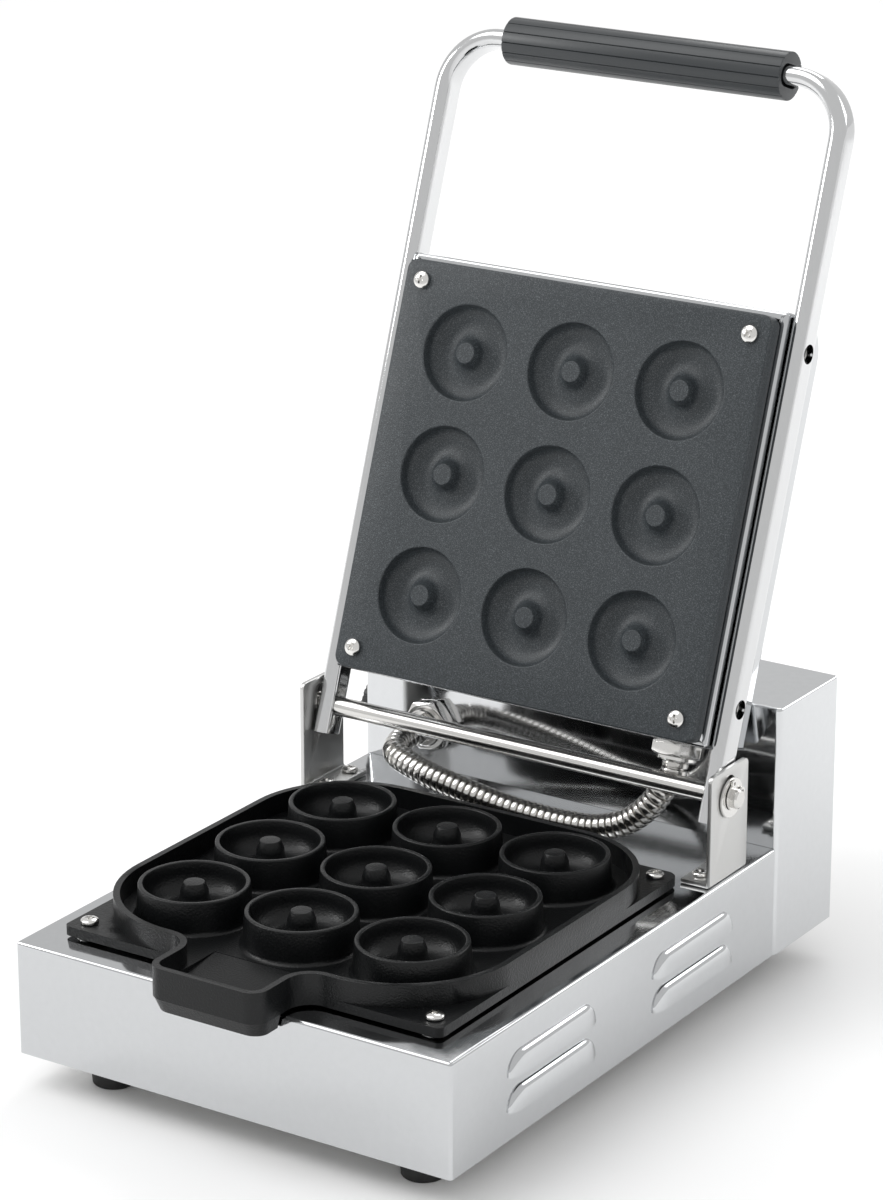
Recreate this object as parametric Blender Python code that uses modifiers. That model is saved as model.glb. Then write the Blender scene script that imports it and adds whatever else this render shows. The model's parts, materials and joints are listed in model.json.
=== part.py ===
"""Single-head donut maker: nine-ring lower tray, hinged nine-cavity upper head, control box.

Metres, +Z up, +X to the operator's right, -Y towards the operator (spout side).
The head is modelled in its open position. Run with blender --background --python part.py.
"""
import math

import bmesh
import bpy
from mathutils import Matrix, Vector

# ---------------------------------------------------------------- dimensions
MM = 0.001
GAP = 0.3 * MM                 # clearance left between touching pieces

CASE_W = 260 * MM              # base casing, left to right
CASE_D = 313 * MM              # base casing, front to rear
CASE_H = 61 * MM               # base casing, folded side height
FOOT_H = 19 * MM
DECK_Z = FOOT_H + CASE_H       # top surface of the base casing
SHEET = 1.5 * MM               # stainless sheet thickness
FOLD_R = 2.0 * MM              # outside radius of a folded edge

BOX_W = 262 * MM               # control box
BOX_D = 62.5 * MM
BOX_Y0 = CASE_D + GAP
BOX_Y1 = BOX_Y0 + BOX_D
BOX_TOP = DECK_Z + 78.6 * MM
BOX_R = 6 * MM

PITCH = 65.8 * MM              # ring to ring
TRAY_Y = 130 * MM              # centre of the ring grid
TRAY_HALF = 112.8 * MM
HEATER_HALF = 82.4 * MM        # the lower heater plate hangs in the deck's window
HEATER_T = 3.2 * MM
FLANGE_T = 5.0 * MM
FLANGE_TOP = DECK_Z + 6.6 * MM
RING_TOP = DECK_Z + 24.6 * MM
WALL_TOP = DECK_Z + 18.2 * MM
WALL_T = 3.4 * MM
RING_R = 28.5 * MM
CAVITY_R = 25.2 * MM
PIN_R = 5.6 * MM
PIN_BASE_R = 7.6 * MM
WALL_FRONT_R = 62 * MM          # gutter wall's front corners
WALL_REAR_R = 57 * MM
SPOUT_HALF = 33.5 * MM
SPOUT_Y = TRAY_Y - 150.3 * MM  # front face of the spout
SPOUT_BOTTOM = DECK_Z - 6.0 * MM
TRAY_SCREW = 103.4 * MM

HINGE_Y = 265 * MM             # shaft axis at the bottom of the bracket slots
HINGE_Z = DECK_Z + 45.5 * MM
LEAN = math.radians(19.8)      # head leans back past vertical when open
FLOAT = 6.0 * MM               # lift of the shaft in the slots
SHAFT_R = 5.25 * MM

FACE_Y = -20.2 * MM            # head frame: plate face, ahead of the shaft axis
PLATE_V = 135 * MM             # head frame: plate centre above the shaft axis
PLATE_HALF = 111.6 * MM
PLATE_T = 10 * MM
PLATE_SCREW = 100.5 * MM
HEAD_HALF = 114.9 * MM         # head casing half width
HEAD_BACK = 33.9 * MM
HEAD_V0 = PLATE_V - 113 * MM
HEAD_V1 = PLATE_V + 115.3 * MM
HEAD_R = 22 * MM               # rolled rear top edge of the head casing

ARM_X = 120.4 * MM             # centre plane of an arm
ARM_T = 9.8 * MM
ARM_W = 17.7 * MM
ARM_WALL = 1.5 * MM
ARM_LOW = -15.5 * MM
GRIP_V = 371 * MM
BEND_R = 30 * MM
GRIP_R = 12.8 * MM
GRIP_HALF = 84.4 * MM
ARM_BOLT_V = (PLATE_V - 90 * MM, PLATE_V + 96 * MM)

BRACKET_X = 126.0 * MM         # inner plane of a bracket
BRACKET_T = 2.5 * MM
BRACKET_Y0 = HINGE_Y - 18.5 * MM
BRACKET_Y1 = HINGE_Y + 19.5 * MM
BRACKET_TOP = DECK_Z + 61.5 * MM
BRACKET_FOOT = 15 * MM
SLOT_R = 5.6 * MM

HOSE_R = 6.8 * MM
NUT_AF = 26 * MM
BOX_NUT = (-85.3 * MM, DECK_Z + 27 * MM)   # x, z on the control box front
HEAD_NUT = (86 * MM, 15.5 * MM)            # x and head-frame y on the head's lower wall

TIMER_Z = 137 * MM             # heights of the controls on the box's left side
THERMOSTAT_Z = 99 * MM
LAMP_Z = 69 * MM
SWITCH_Z = 44 * MM
INLET_X = 85 * MM              # cord inlet on the rear panel
INLET_Z = 45 * MM

FRAME_SHIFT = (6.9 * MM, -191.578 * MM)     # centres the whole object over the origin

# ---------------------------------------------------------------- materials
MATERIALS = {
    "polished_steel": ((0.80, 0.81, 0.82), 0.12, 1.0),
    "satin_steel": ((0.62, 0.62, 0.61), 0.32, 1.0),
    "black_cast": ((0.030, 0.032, 0.034), 0.45, 0.0),
    "grey_cast": ((0.075, 0.085, 0.092), 0.50, 0.0),
    "element_steel": ((0.20, 0.20, 0.19), 0.45, 1.0),
    "zinc_screw": ((0.74, 0.74, 0.73), 0.22, 1.0),
    "rubber": ((0.025, 0.025, 0.025), 0.75, 0.0),
    "phenolic": ((0.055, 0.060, 0.062), 0.38, 0.0),
    "hose_steel": ((0.55, 0.54, 0.52), 0.22, 1.0),
    "control_plastic": ((0.030, 0.030, 0.032), 0.40, 0.0),
    "lamp_amber": ((0.85, 0.36, 0.04), 0.20, 0.0),
    "lamp_green": ((0.06, 0.52, 0.14), 0.20, 0.0),
    "ceramic": ((0.80, 0.78, 0.72), 0.50, 0.0),
    "insulation": ((0.68, 0.66, 0.60), 0.95, 0.0),
}


def clear_scene():
    for item in list(bpy.data.objects):
        bpy.data.objects.remove(item, do_unlink=True)
    for item in list(bpy.data.collections):
        bpy.data.collections.remove(item)


def make_collection(name):
    found = bpy.data.collections.new(name)
    bpy.context.scene.collection.children.link(found)
    return found


def material(name):
    found = bpy.data.materials.get(name)
    if found:
        return found
    colour, roughness, metallic = MATERIALS[name]
    found = bpy.data.materials.new(name)
    found.use_nodes = True
    shader = found.node_tree.nodes["Principled BSDF"]
    shader.inputs["Base Color"].default_value = (*colour, 1.0)
    shader.inputs["Roughness"].default_value = roughness
    shader.inputs["Metallic"].default_value = metallic
    return found


def place(name, mesh_bm, finish, location=(0, 0, 0), parent=None, rotation=(0, 0, 0), smooth=True):
    """Turns a bmesh built about its own origin into a placed, named part."""
    mesh = bpy.data.meshes.new(name)
    bmesh.ops.recalc_face_normals(mesh_bm, faces=mesh_bm.faces)
    mesh_bm.to_mesh(mesh)
    mesh_bm.free()
    item = bpy.data.objects.new(name, mesh)
    PARTS.objects.link(item)
    item.location = location
    item.rotation_euler = rotation
    item.parent = parent or ROOT
    mesh.materials.append(material(finish))
    if smooth:
        mesh.shade_smooth()
        mesh.set_sharp_from_angle(angle=math.radians(35))
    return item


def cutter(item):
    """Moves an object to the cutters' collection and hides it from the build."""
    for owner in list(item.users_collection):
        owner.objects.unlink(item)
    CUTTERS.objects.link(item)
    item.hide_render = True
    item.display_type = "WIRE"
    return item


def combine(item, other, operation):
    modifier = item.modifiers.new(f"{operation.lower()}_{other.name}"[:60], "BOOLEAN")
    modifier.operation = operation
    modifier.object = other
    modifier.solver = "EXACT"
    return item


def cut(item, *others):
    for other in others:
        combine(item, cutter(other), "DIFFERENCE")
    return item


def join(item, *others):
    for other in others:
        combine(item, cutter(other), "UNION")
    return item


def box_bm(size):
    mesh_bm = bmesh.new()
    bmesh.ops.create_cube(mesh_bm, size=1.0)
    bmesh.ops.scale(mesh_bm, vec=size, verts=mesh_bm.verts)
    return mesh_bm


def bevel_edges(mesh_bm, width, segments, keep):
    """Bevels the edges whose midpoint and direction pass keep(mid, direction)."""
    chosen = []
    for edge in mesh_bm.edges:
        start, end = (v.co for v in edge.verts)
        if keep((start + end) / 2, (end - start).normalized()):
            chosen.append(edge)
    bmesh.ops.bevel(mesh_bm, geom=chosen, offset=width, segments=segments, profile=0.5,
                    affect="EDGES", clamp_overlap=True)


def box(name, low, high, finish, parent=None, bevel=0.0, segments=1, keep=None):
    """A box from corner low to corner high, in its parent's frame."""
    low, high = Vector(low), Vector(high)
    mesh_bm = box_bm(high - low)
    if bevel:
        bevel_edges(mesh_bm, bevel, segments, keep or (lambda mid, direction: True))
    return place(name, mesh_bm, finish, (low + high) / 2, parent)


AXIS_TURN = {"X": (0, math.pi / 2, 0), "Y": (-math.pi / 2, 0, 0), "Z": (0, 0, 0)}


def rod(name, radius, length, centre, axis, finish, parent=None, sides=20, chamfer=0.0):
    mesh_bm = bmesh.new()
    bmesh.ops.create_cone(mesh_bm, cap_ends=True, segments=sides, radius1=radius,
                          radius2=radius, depth=length)
    if chamfer:
        bevel_edges(mesh_bm, chamfer, 1, lambda mid, direction: abs(mid.z) > length * 0.49)
    return place(name, mesh_bm, finish, centre, parent, AXIS_TURN[axis])


def turned(name, profile, finish, location=(0, 0, 0), axis="Z", parent=None, steps=20,
           flip=False):
    """A solid of revolution: profile is (radius, height) from the top down its outer side.

    A profile that starts and ends on the axis is a solid, a closed loop is a ring.
    """
    mesh = bpy.data.meshes.new(name)
    mesh_bm = bmesh.new()
    points = [mesh_bm.verts.new((radius, 0.0, height)) for radius, height in profile]
    for first, second in zip(points, points[1:]):
        mesh_bm.edges.new((first, second))
    if profile[0][0] > 1e-7:
        mesh_bm.edges.new((points[-1], points[0]))
    mesh_bm.to_mesh(mesh)
    mesh_bm.free()
    item = bpy.data.objects.new(name, mesh)
    PARTS.objects.link(item)
    item.location = location
    turn = Vector(AXIS_TURN[axis])
    if flip:
        turn = Vector((turn.x + math.pi, turn.y, turn.z))
    item.rotation_euler = turn
    item.parent = parent or ROOT
    mesh.materials.append(material(finish))
    screw = item.modifiers.new("turn", "SCREW")
    screw.steps = steps
    screw.render_steps = steps
    screw.use_merge_vertices = True
    screw.merge_threshold = 0.00001
    screw.use_smooth_shade = True
    return item


def prism(name, outline, low, high, finish, parent=None, location=(0, 0, 0)):
    """Extrudes a closed 2D outline from height low to height high."""
    mesh_bm = bmesh.new()
    base = [mesh_bm.verts.new((x, y, low)) for x, y in outline]
    face = mesh_bm.faces.new(base)
    grown = bmesh.ops.extrude_face_region(mesh_bm, geom=[face])
    top = [g for g in grown["geom"] if isinstance(g, bmesh.types.BMVert)]
    bmesh.ops.translate(mesh_bm, vec=(0, 0, high - low), verts=top)
    return place(name, mesh_bm, finish, location, parent)


def arc(centre, radius, start, end, count):
    """Points on an arc; angles in degrees."""
    points = []
    for index in range(count + 1):
        angle = math.radians(start + (end - start) * index / count)
        points.append((centre[0] + radius * math.cos(angle), centre[1] + radius * math.sin(angle)))
    return points


def mirrored(half):
    """Closes a right-hand outline that starts at the front and ends at the rear."""
    return half + [(-x, y) for x, y in reversed(half)]


def tray_outline(inset, spout_corner):
    """Plan outline of the gutter wall, about the ring grid's centre."""
    half = TRAY_HALF - inset
    spout = SPOUT_HALF - inset
    front = SPOUT_Y - TRAY_Y + inset
    sweep = 13 * MM + inset
    points = arc((spout - spout_corner, front + spout_corner), spout_corner, -90, 0, 4)
    points += arc((spout + sweep, -half - sweep), sweep, 180, 90, 5)
    front_c, rear_c = TRAY_HALF - WALL_FRONT_R, TRAY_HALF - WALL_REAR_R
    points += arc((front_c, -front_c), WALL_FRONT_R - inset, -90, 0, 8)
    points += arc((rear_c, rear_c), WALL_REAR_R - inset, 0, 90, 8)
    return mirrored(points)


def slab_outline(half, radius_front, radius_rear):
    """Plan outline of a square plate with rounded corners."""
    points = arc((half - radius_front, -half + radius_front), radius_front, -90, 0, 3)
    points += arc((half - radius_rear, half - radius_rear), radius_rear, 0, 90, 3)
    return mirrored(points)


# ---------------------------------------------------------------- base casing
def add_louvers(casing):
    """Pressed louvers, two columns by two rows on each side."""
    for side in (-1, 1):
        for y_low in (50 * MM, 187 * MM):
            for z_low in (DECK_Z - 27.5 * MM, DECK_Z - 46 * MM):
                tag = f"{'r' if side > 0 else 'l'}{int(y_low * 1000)}_{int(z_low * 1000)}"
                x_face = side * CASE_W / 2
                hood = louver_hood(f"hood_{tag}", side, x_face, y_low, z_low, 0.0)
                hollow = louver_hood(f"hollow_{tag}", side, x_face, y_low, z_low, SHEET)
                join(casing, hood)
                cut(casing, hollow)


def louver_hood(name, side, x_face, y_low, z_low, inset):
    """Quarter-round hood that is open downwards; inset gives its hollow."""
    mesh_bm = bmesh.new()
    depth = 4.0 * MM
    reach = depth - inset * 0.7
    inner = -1.0 * MM if inset == 0.0 else -4.0 * MM
    bottom = 0.0 if inset == 0.0 else -2.0 * MM
    top = 12 * MM - inset * 1.4
    section = [(inner, bottom), (reach, bottom), (reach, 2.5 * MM), (reach * 0.72, top * 0.62),
               (0.0, top), (inner, top)]
    length = 80 * MM - 2 * inset
    rows = []
    stations = ((0.0, 0.12), (0.06, 0.72), (0.14, 1.0), (0.86, 1.0), (0.94, 0.72), (1.0, 0.12))
    for share, swell in stations:
        ring = []
        for x, z in section:
            bulge = x * swell if x > 0 else x
            rise = z * (0.35 + 0.65 * swell) if z > 0 else z
            ring.append(mesh_bm.verts.new((side * bulge, length * share, rise)))
        rows.append(ring)
    for first, second in zip(rows, rows[1:]):
        for index in range(len(section)):
            after = (index + 1) % len(section)
            mesh_bm.faces.new((first[index], first[after], second[after], second[index]))
    mesh_bm.faces.new(rows[0])
    mesh_bm.faces.new(list(reversed(rows[-1])))
    return place(name, mesh_bm, "polished_steel", (x_face, y_low + inset, z_low), smooth=False)


def open_shell(name, low, high, finish, removed, bevel, bevel_keep, parent=None):
    """Folded sheet: a box without the faces whose normals are in removed, thickened inwards."""
    low, high = Vector(low), Vector(high)
    mesh_bm = box_bm(high - low)
    bevel_edges(mesh_bm, bevel, 3, bevel_keep)
    mesh_bm.normal_update()
    doomed = []
    for face in mesh_bm.faces:
        for normal in removed:
            if face.normal.dot(Vector(normal)) > 0.99:
                doomed.append(face)
    bmesh.ops.delete(mesh_bm, geom=doomed, context="FACES")
    item = place(name, mesh_bm, finish, (low + high) / 2, parent)
    shell = item.modifiers.new("sheet", "SOLIDIFY")
    shell.thickness = SHEET
    shell.offset = -1.0
    shell.use_even_offset = True
    return item


def base_casing():
    half = CASE_W / 2
    top = CASE_H / 2
    front = -CASE_D / 2

    def folded(mid, direction):
        lid = mid.z > top * 0.99 and mid.y < -front * 0.99
        corner = abs(direction.z) > 0.9 and mid.y < front * 0.99
        return lid or corner

    casing = open_shell("base_casing", (-half, 0, FOOT_H), (half, CASE_D, DECK_Z),
                        "polished_steel", ((0, 0, -1), (0, 1, 0)), FOLD_R, folded)
    window = box("deck_window", (-84 * MM, TRAY_Y - 84 * MM, DECK_Z - 4 * MM),
                 (84 * MM, TRAY_Y + 84 * MM, DECK_Z + 1 * MM), "polished_steel")
    cut(casing, window)
    add_louvers(casing)
    return casing


def bottom_plate():
    inset = SHEET + GAP
    plate = box("bottom_plate", (-CASE_W / 2 + inset, inset, FOOT_H + 1.0 * MM),
                (CASE_W / 2 - inset, BOX_Y1 - 1.0 * MM, FOOT_H + 2.5 * MM), "satin_steel")
    slots = []
    for index in range(5):
        x = (index - 2) * 30 * MM
        slots.append(box(f"vent_{index}", (x - 4 * MM, 100 * MM, FOOT_H),
                         (x + 4 * MM, 180 * MM, FOOT_H + 4 * MM), "satin_steel"))
    return cut(plate, *slots)


def feet():
    top = FOOT_H + 1.0 * MM - GAP
    profile = [(0, top), (11.0 * MM, top), (12.5 * MM, top - 2 * MM), (11.2 * MM, 1.0 * MM),
               (10.2 * MM, 0), (0, 0)]
    for index, (x, y) in enumerate(((-94, 31), (94, 31), (-94, 345), (94, 345))):
        turned(f"foot_{index + 1}", profile, "rubber", (x * MM, y * MM, 0), steps=16)


# ---------------------------------------------------------------- control box
def control_box():
    half = BOX_W / 2
    depth = BOX_D / 2
    tall = (BOX_TOP - FOOT_H) / 2

    def folded(mid, direction):
        upright = abs(direction.z) > 0.9 and mid.y < -depth * 0.99
        lid = mid.z > tall * 0.99 and mid.y < depth * 0.99
        return upright or lid

    shell = open_shell("control_box", (-half, BOX_Y0, FOOT_H), (half, BOX_Y1, BOX_TOP),
                       "polished_steel", ((0, 0, -1), (0, 1, 0)), 3.0 * MM, folded)
    left = -half
    cut(shell, rod("box_gland_hole", 8.2 * MM, 8 * MM, (BOX_NUT[0], BOX_Y0, BOX_NUT[1]), "Y",
                   "polished_steel"))
    cut(shell, box("wiring_window", (-40 * MM, BOX_Y0 - 2 * MM, FOOT_H + 12 * MM),
                   (40 * MM, BOX_Y0 + 4 * MM, DECK_Z - 12 * MM), "polished_steel"))
    inset = SHEET + 0.2 * MM
    cut(shell, box("bottom_plate_way", (-half + inset, BOX_Y0 - 2 * MM, FOOT_H - 2 * MM),
                   (half - inset, BOX_Y0 + SHEET + 3 * MM, FOOT_H + 2.8 * MM), "polished_steel"))
    y_mid = (BOX_Y0 + BOX_Y1) / 2
    for tag, z in (("timer", TIMER_Z), ("thermostat", THERMOSTAT_Z)):
        cut(shell, rod(f"{tag}_hole", 4.0 * MM, 8 * MM, (left, y_mid, z), "X", "polished_steel",
                       sides=12))
    for tag, y in (("power", y_mid - 12 * MM), ("heat", y_mid + 12 * MM)):
        cut(shell, rod(f"{tag}_lamp_hole", 4.3 * MM, 8 * MM, (left, y, LAMP_Z), "X",
                       "polished_steel", sides=12))
    cut(shell, box("switch_hole", (left - 2 * MM, y_mid - 11.3 * MM, SWITCH_Z - 7.3 * MM),
                   (left + 4 * MM, y_mid + 11.3 * MM, SWITCH_Z + 7.3 * MM), "polished_steel"))
    return shell


def rear_panel():
    """Cover plate on the open rear of the control box, with vents and the cord inlet hole."""
    inset = SHEET + 0.8 * MM
    y0 = BOX_Y1 - 2.0 * MM
    panel = box("rear_panel", (-BOX_W / 2 + inset, y0, FOOT_H + 2.8 * MM),
                (BOX_W / 2 - inset, y0 + 1.5 * MM, BOX_TOP - inset), "satin_steel")
    for index in range(6):
        z = 104 * MM + index * 7 * MM
        cut(panel, box(f"rear_slot_{index}", (-45 * MM, y0 - 1 * MM, z),
                       (45 * MM, y0 + 3 * MM, z + 3 * MM), "satin_steel"))
    cut(panel, box("inlet_hole", (INLET_X - 14 * MM, y0 - 2 * MM, INLET_Z - 10.2 * MM),
                   (INLET_X + 14 * MM, y0 + 4 * MM, INLET_Z + 10.2 * MM), "satin_steel"))
    return panel


def cord_inlet():
    """Recessed appliance inlet for a detachable supply cord, with three contact blades."""
    y_face = BOX_Y1 - 0.5 * MM + GAP
    body = box("cord_inlet", (INLET_X - 13.7 * MM, y_face - 24 * MM, INLET_Z - 9.9 * MM),
               (INLET_X + 13.7 * MM, y_face + 0.5 * MM, INLET_Z + 9.9 * MM), "control_plastic")
    flange = box("inlet_flange", (INLET_X - 20 * MM, y_face, INLET_Z - 12.5 * MM),
                 (INLET_X + 20 * MM, y_face + 2.2 * MM, INLET_Z + 12.5 * MM), "control_plastic",
                 bevel=3 * MM, keep=lambda mid, direction: abs(direction.y) > 0.9)
    well = box("inlet_well", (INLET_X - 12.2 * MM, y_face - 17 * MM, INLET_Z - 8.4 * MM),
               (INLET_X + 12.2 * MM, y_face + 5 * MM, INLET_Z + 8.4 * MM), "control_plastic")
    cut(join(body, flange), well)
    for index, (x, z) in enumerate(((-7 * MM, 1.5 * MM), (0, -2.5 * MM), (7 * MM, 1.5 * MM))):
        join(body, box(f"inlet_blade_{index}",
                       (INLET_X + x - 1 * MM, y_face - 19 * MM, INLET_Z + z - 2 * MM),
                       (INLET_X + x + 1 * MM, y_face - 5 * MM, INLET_Z + z + 2 * MM),
                       "control_plastic"))
    return body


def knob(name, z, pointer_deg):
    """Turned control knob with a raised pointer rib; it faces -X."""
    y_mid = (BOX_Y0 + BOX_Y1) / 2
    x_face = -BOX_W / 2 - 0.8 * MM
    profile = [(0, 15 * MM), (11.0 * MM, 15 * MM), (12.5 * MM, 13.5 * MM), (13.5 * MM, 3.5 * MM),
               (17 * MM, 2.4 * MM), (17 * MM, 0), (0, 0)]
    body = turned(name, profile, "control_plastic", (x_face, y_mid, z), steps=24)
    body.rotation_euler = (0, -math.pi / 2, 0)
    rib = box(f"{name}_rib", (-1.6 * MM, -12.0 * MM, 12 * MM), (1.6 * MM, 12.0 * MM, 17 * MM),
              "control_plastic")
    rib.parent = None
    bpy.context.view_layer.update()
    rib.matrix_world = (Matrix.Translation((x_face, y_mid, z))
                        @ Matrix.Rotation(math.radians(pointer_deg), 4, "X")
                        @ Matrix.Rotation(-math.pi / 2, 4, "Y")
                        @ Matrix.Translation((0, 0, 14.5 * MM)))
    rib.matrix_parent_inverse = ROOT.matrix_world.inverted()
    rib.parent = ROOT
    return join(body, rib)


def control_body(name, z, radius, depth, finish):
    """Regulator body behind a knob, with its threaded bush and spindle through the wall."""
    y_mid = (BOX_Y0 + BOX_Y1) / 2
    x_in = -BOX_W / 2 + SHEET + GAP
    profile = [(0, 3.0 * MM), (3.4 * MM, 3.0 * MM), (3.4 * MM, 0), (radius, 0),
               (radius, -depth), (0, -depth)]
    profile = [(r, h if h <= 0 else SHEET + GAP + 0.4 * MM) for r, h in profile]
    body = turned(name, profile, finish, (x_in, y_mid, z), steps=20)
    body.rotation_euler = (0, -math.pi / 2, 0)
    return body


def controls():
    y_mid = (BOX_Y0 + BOX_Y1) / 2
    left = -BOX_W / 2
    knob("timer_knob", TIMER_Z, 0)
    knob("thermostat_knob", THERMOSTAT_Z, 0)
    control_body("timer_body", TIMER_Z, 17 * MM, 34 * MM, "control_plastic")
    control_body("thermostat_body", THERMOSTAT_Z, 15 * MM, 26 * MM, "ceramic")
    for tag, y, finish in (("power", y_mid - 12 * MM, "lamp_green"), ("heat", y_mid + 12 * MM, "lamp_amber")):
        profile = [(0, 4.2 * MM), (3.0 * MM, 3.9 * MM), (5.2 * MM, 2.0 * MM), (6.0 * MM, 0.3 * MM),
                   (4.0 * MM, 0.3 * MM), (4.0 * MM, -14 * MM), (0, -14 * MM)]
        lamp = turned(f"{tag}_lamp", profile, finish, (left, y, LAMP_Z), steps=14)
        lamp.rotation_euler = (0, -math.pi / 2, 0)
    housing = box("switch_housing", (left + GAP, y_mid - 11 * MM, SWITCH_Z - 7 * MM),
                  (left + 20 * MM, y_mid + 11 * MM, SWITCH_Z + 7 * MM), "control_plastic")
    bezel = box("switch_bezel", (left - 2.0 * MM, y_mid - 13.5 * MM, SWITCH_Z - 9.5 * MM),
                (left - GAP, y_mid + 13.5 * MM, SWITCH_Z + 9.5 * MM), "control_plastic")
    neck = box("switch_neck", (left - 1.0 * MM, y_mid - 11 * MM, SWITCH_Z - 7 * MM),
               (left + 1.0 * MM, y_mid + 11 * MM, SWITCH_Z + 7 * MM), "control_plastic")
    well = box("switch_well", (left - 4 * MM, y_mid - 9.6 * MM, SWITCH_Z - 5.6 * MM),
               (left + 7 * MM, y_mid + 9.6 * MM, SWITCH_Z + 5.6 * MM), "control_plastic")
    cut(join(housing, bezel, neck), well)
    switch_rocker(left, y_mid)
    box("terminal_block", (-30 * MM, BOX_Y0 + 22 * MM, 60 * MM),
        (30 * MM, BOX_Y0 + 38 * MM, 78 * MM), "ceramic", bevel=1.0 * MM)
    box("terminal_rail", (-34 * MM, BOX_Y0 + SHEET + GAP, 56 * MM),
        (34 * MM, BOX_Y0 + 22 * MM - GAP, 59.7 * MM), "satin_steel")


def switch_rocker(left, y_mid):
    """Rocker that pivots about Z, resting with its front end out."""
    outline = [(-1.2 * MM, -8.5 * MM), (-3.6 * MM, -8.5 * MM), (-2.4 * MM, 0), (-3.6 * MM, 8.5 * MM),
               (-1.2 * MM, 8.5 * MM), (3.4 * MM, 4 * MM), (3.4 * MM, -4 * MM)]
    rocker = prism("switch_rocker", outline, -5.1 * MM, 5.1 * MM, "control_plastic",
                   location=(left, y_mid, SWITCH_Z))
    rocker.rotation_euler = (0, 0, math.radians(-7))


# ---------------------------------------------------------------- lower tray
def ring_profile(floor):
    """Ring wall, donut cavity and centre pin, from the pin's top to the floor."""
    top = RING_TOP
    low = top - 15.5 * MM
    mid = (CAVITY_R + PIN_BASE_R) / 2
    return [(0, top), (PIN_R, top), (PIN_BASE_R, low + 3.2 * MM), (PIN_BASE_R + 2.6 * MM, low + 0.6 * MM),
            (mid, low), (CAVITY_R - 3.2 * MM, low + 1.6 * MM), (CAVITY_R, top - 4.5 * MM),
            (CAVITY_R + 0.9 * MM, top), (RING_R - 0.6 * MM, top), (RING_R, top - 1.0 * MM),
            (RING_R + 0.8 * MM, floor + 1.6 * MM), (RING_R + 2.4 * MM, floor - 0.6 * MM),
            (0, floor - 0.6 * MM)]


def lower_tray():
    z0 = FLANGE_TOP - FLANGE_T
    floor = FLANGE_TOP + 0.4 * MM
    tray = prism("lower_tray", slab_outline(TRAY_HALF, 3 * MM, 7 * MM), z0, FLANGE_TOP,
                 "black_cast", location=(0, TRAY_Y, 0))
    rim = prism("tray_wall", tray_outline(0.0, 9 * MM), z0 + 0.2 * MM, WALL_TOP, "black_cast",
                location=(0, TRAY_Y, 0))
    front = SPOUT_Y - TRAY_Y
    spout = spout_block(front, z0)
    gutter = prism("tray_gutter", tray_outline(WALL_T, 6 * MM), floor, WALL_TOP + 5 * MM,
                   "black_cast", location=(0, TRAY_Y, 0))
    chute = spout_chute(front, floor)
    join(tray, rim, spout)
    cut(tray, gutter, chute)
    for row in (-1, 0, 1):
        for column in (-1, 0, 1):
            ring = turned(f"ring_{row + 1}{column + 1}", ring_profile(floor), "black_cast",
                          (column * PITCH, TRAY_Y + row * PITCH, 0), steps=16)
            join(tray, ring)
    for index, (x, y) in enumerate(corner_points(TRAY_SCREW)):
        cut(tray, rod(f"tray_hole_{index}", 2.4 * MM, 30 * MM, (x, TRAY_Y + y, z0), "Z",
                      "black_cast", sides=10))
    return tray


def spout_block(front, z0):
    """Deep front of the spout, which overhangs the casing and drops below the deck."""
    back = -TRAY_Y - 1.5 * MM
    corner = 9 * MM
    outline = arc((SPOUT_HALF - corner, front + corner), corner, -90, 0, 4)
    outline += [(SPOUT_HALF, back)]
    outline = mirrored(outline)
    block = prism("spout_block", outline, SPOUT_BOTTOM, z0 + 1 * MM, "black_cast",
                  location=(0, TRAY_Y, 0))
    low = bmesh.new()
    low.from_mesh(block.data)
    for vertex in low.verts:
        if vertex.co.z < SPOUT_BOTTOM + 0.5 * MM:
            vertex.co.y = back + (vertex.co.y - back) * 0.78
            vertex.co.x *= 0.95
    low.to_mesh(block.data)
    low.free()
    return block


def spout_chute(front, floor):
    """Gutter floor that falls towards the spout."""
    mesh_bm = bmesh.new()
    half = SPOUT_HALF - WALL_T - 0.5 * MM
    near, far = front + WALL_T + 0.6 * MM, -PITCH - RING_R - 4 * MM
    deep = floor - 9 * MM
    section = [(near, deep), (near, floor + 2 * MM), (far, floor + 2 * MM), (far, floor - 0.2 * MM),
               (-TRAY_Y - 1.0 * MM, floor - 3.2 * MM)]
    sides = []
    for x in (-half, half):
        sides.append([mesh_bm.verts.new((x, y, z)) for y, z in section])
    count = len(section)
    for index in range(count):
        after = (index + 1) % count
        mesh_bm.faces.new((sides[0][index], sides[0][after], sides[1][after], sides[1][index]))
    mesh_bm.faces.new(sides[0])
    mesh_bm.faces.new(list(reversed(sides[1])))
    return place("spout_chute", mesh_bm, "black_cast", (0, TRAY_Y, 0), smooth=False)


def corner_points(half):
    return [(-half, -half), (half, -half), (-half, half), (half, half)]


def lower_heater():
    top = FLANGE_TOP - FLANGE_T - GAP
    plate = prism("lower_heater_plate", slab_outline(HEATER_HALF, 6 * MM, 6 * MM),
                  top - HEATER_T, top, "black_cast", location=(0, TRAY_Y, 0))
    under = top - HEATER_T
    element("lower_element", (0, TRAY_Y, under - 3.3 * MM - GAP), 3.3 * MM, ROOT, (0, 0, 0))
    box("lower_heat_shield", (-78 * MM, TRAY_Y - 78 * MM, under - 9.5 * MM),
        (78 * MM, TRAY_Y + 78 * MM, under - 7.9 * MM), "satin_steel")
    return plate


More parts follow.
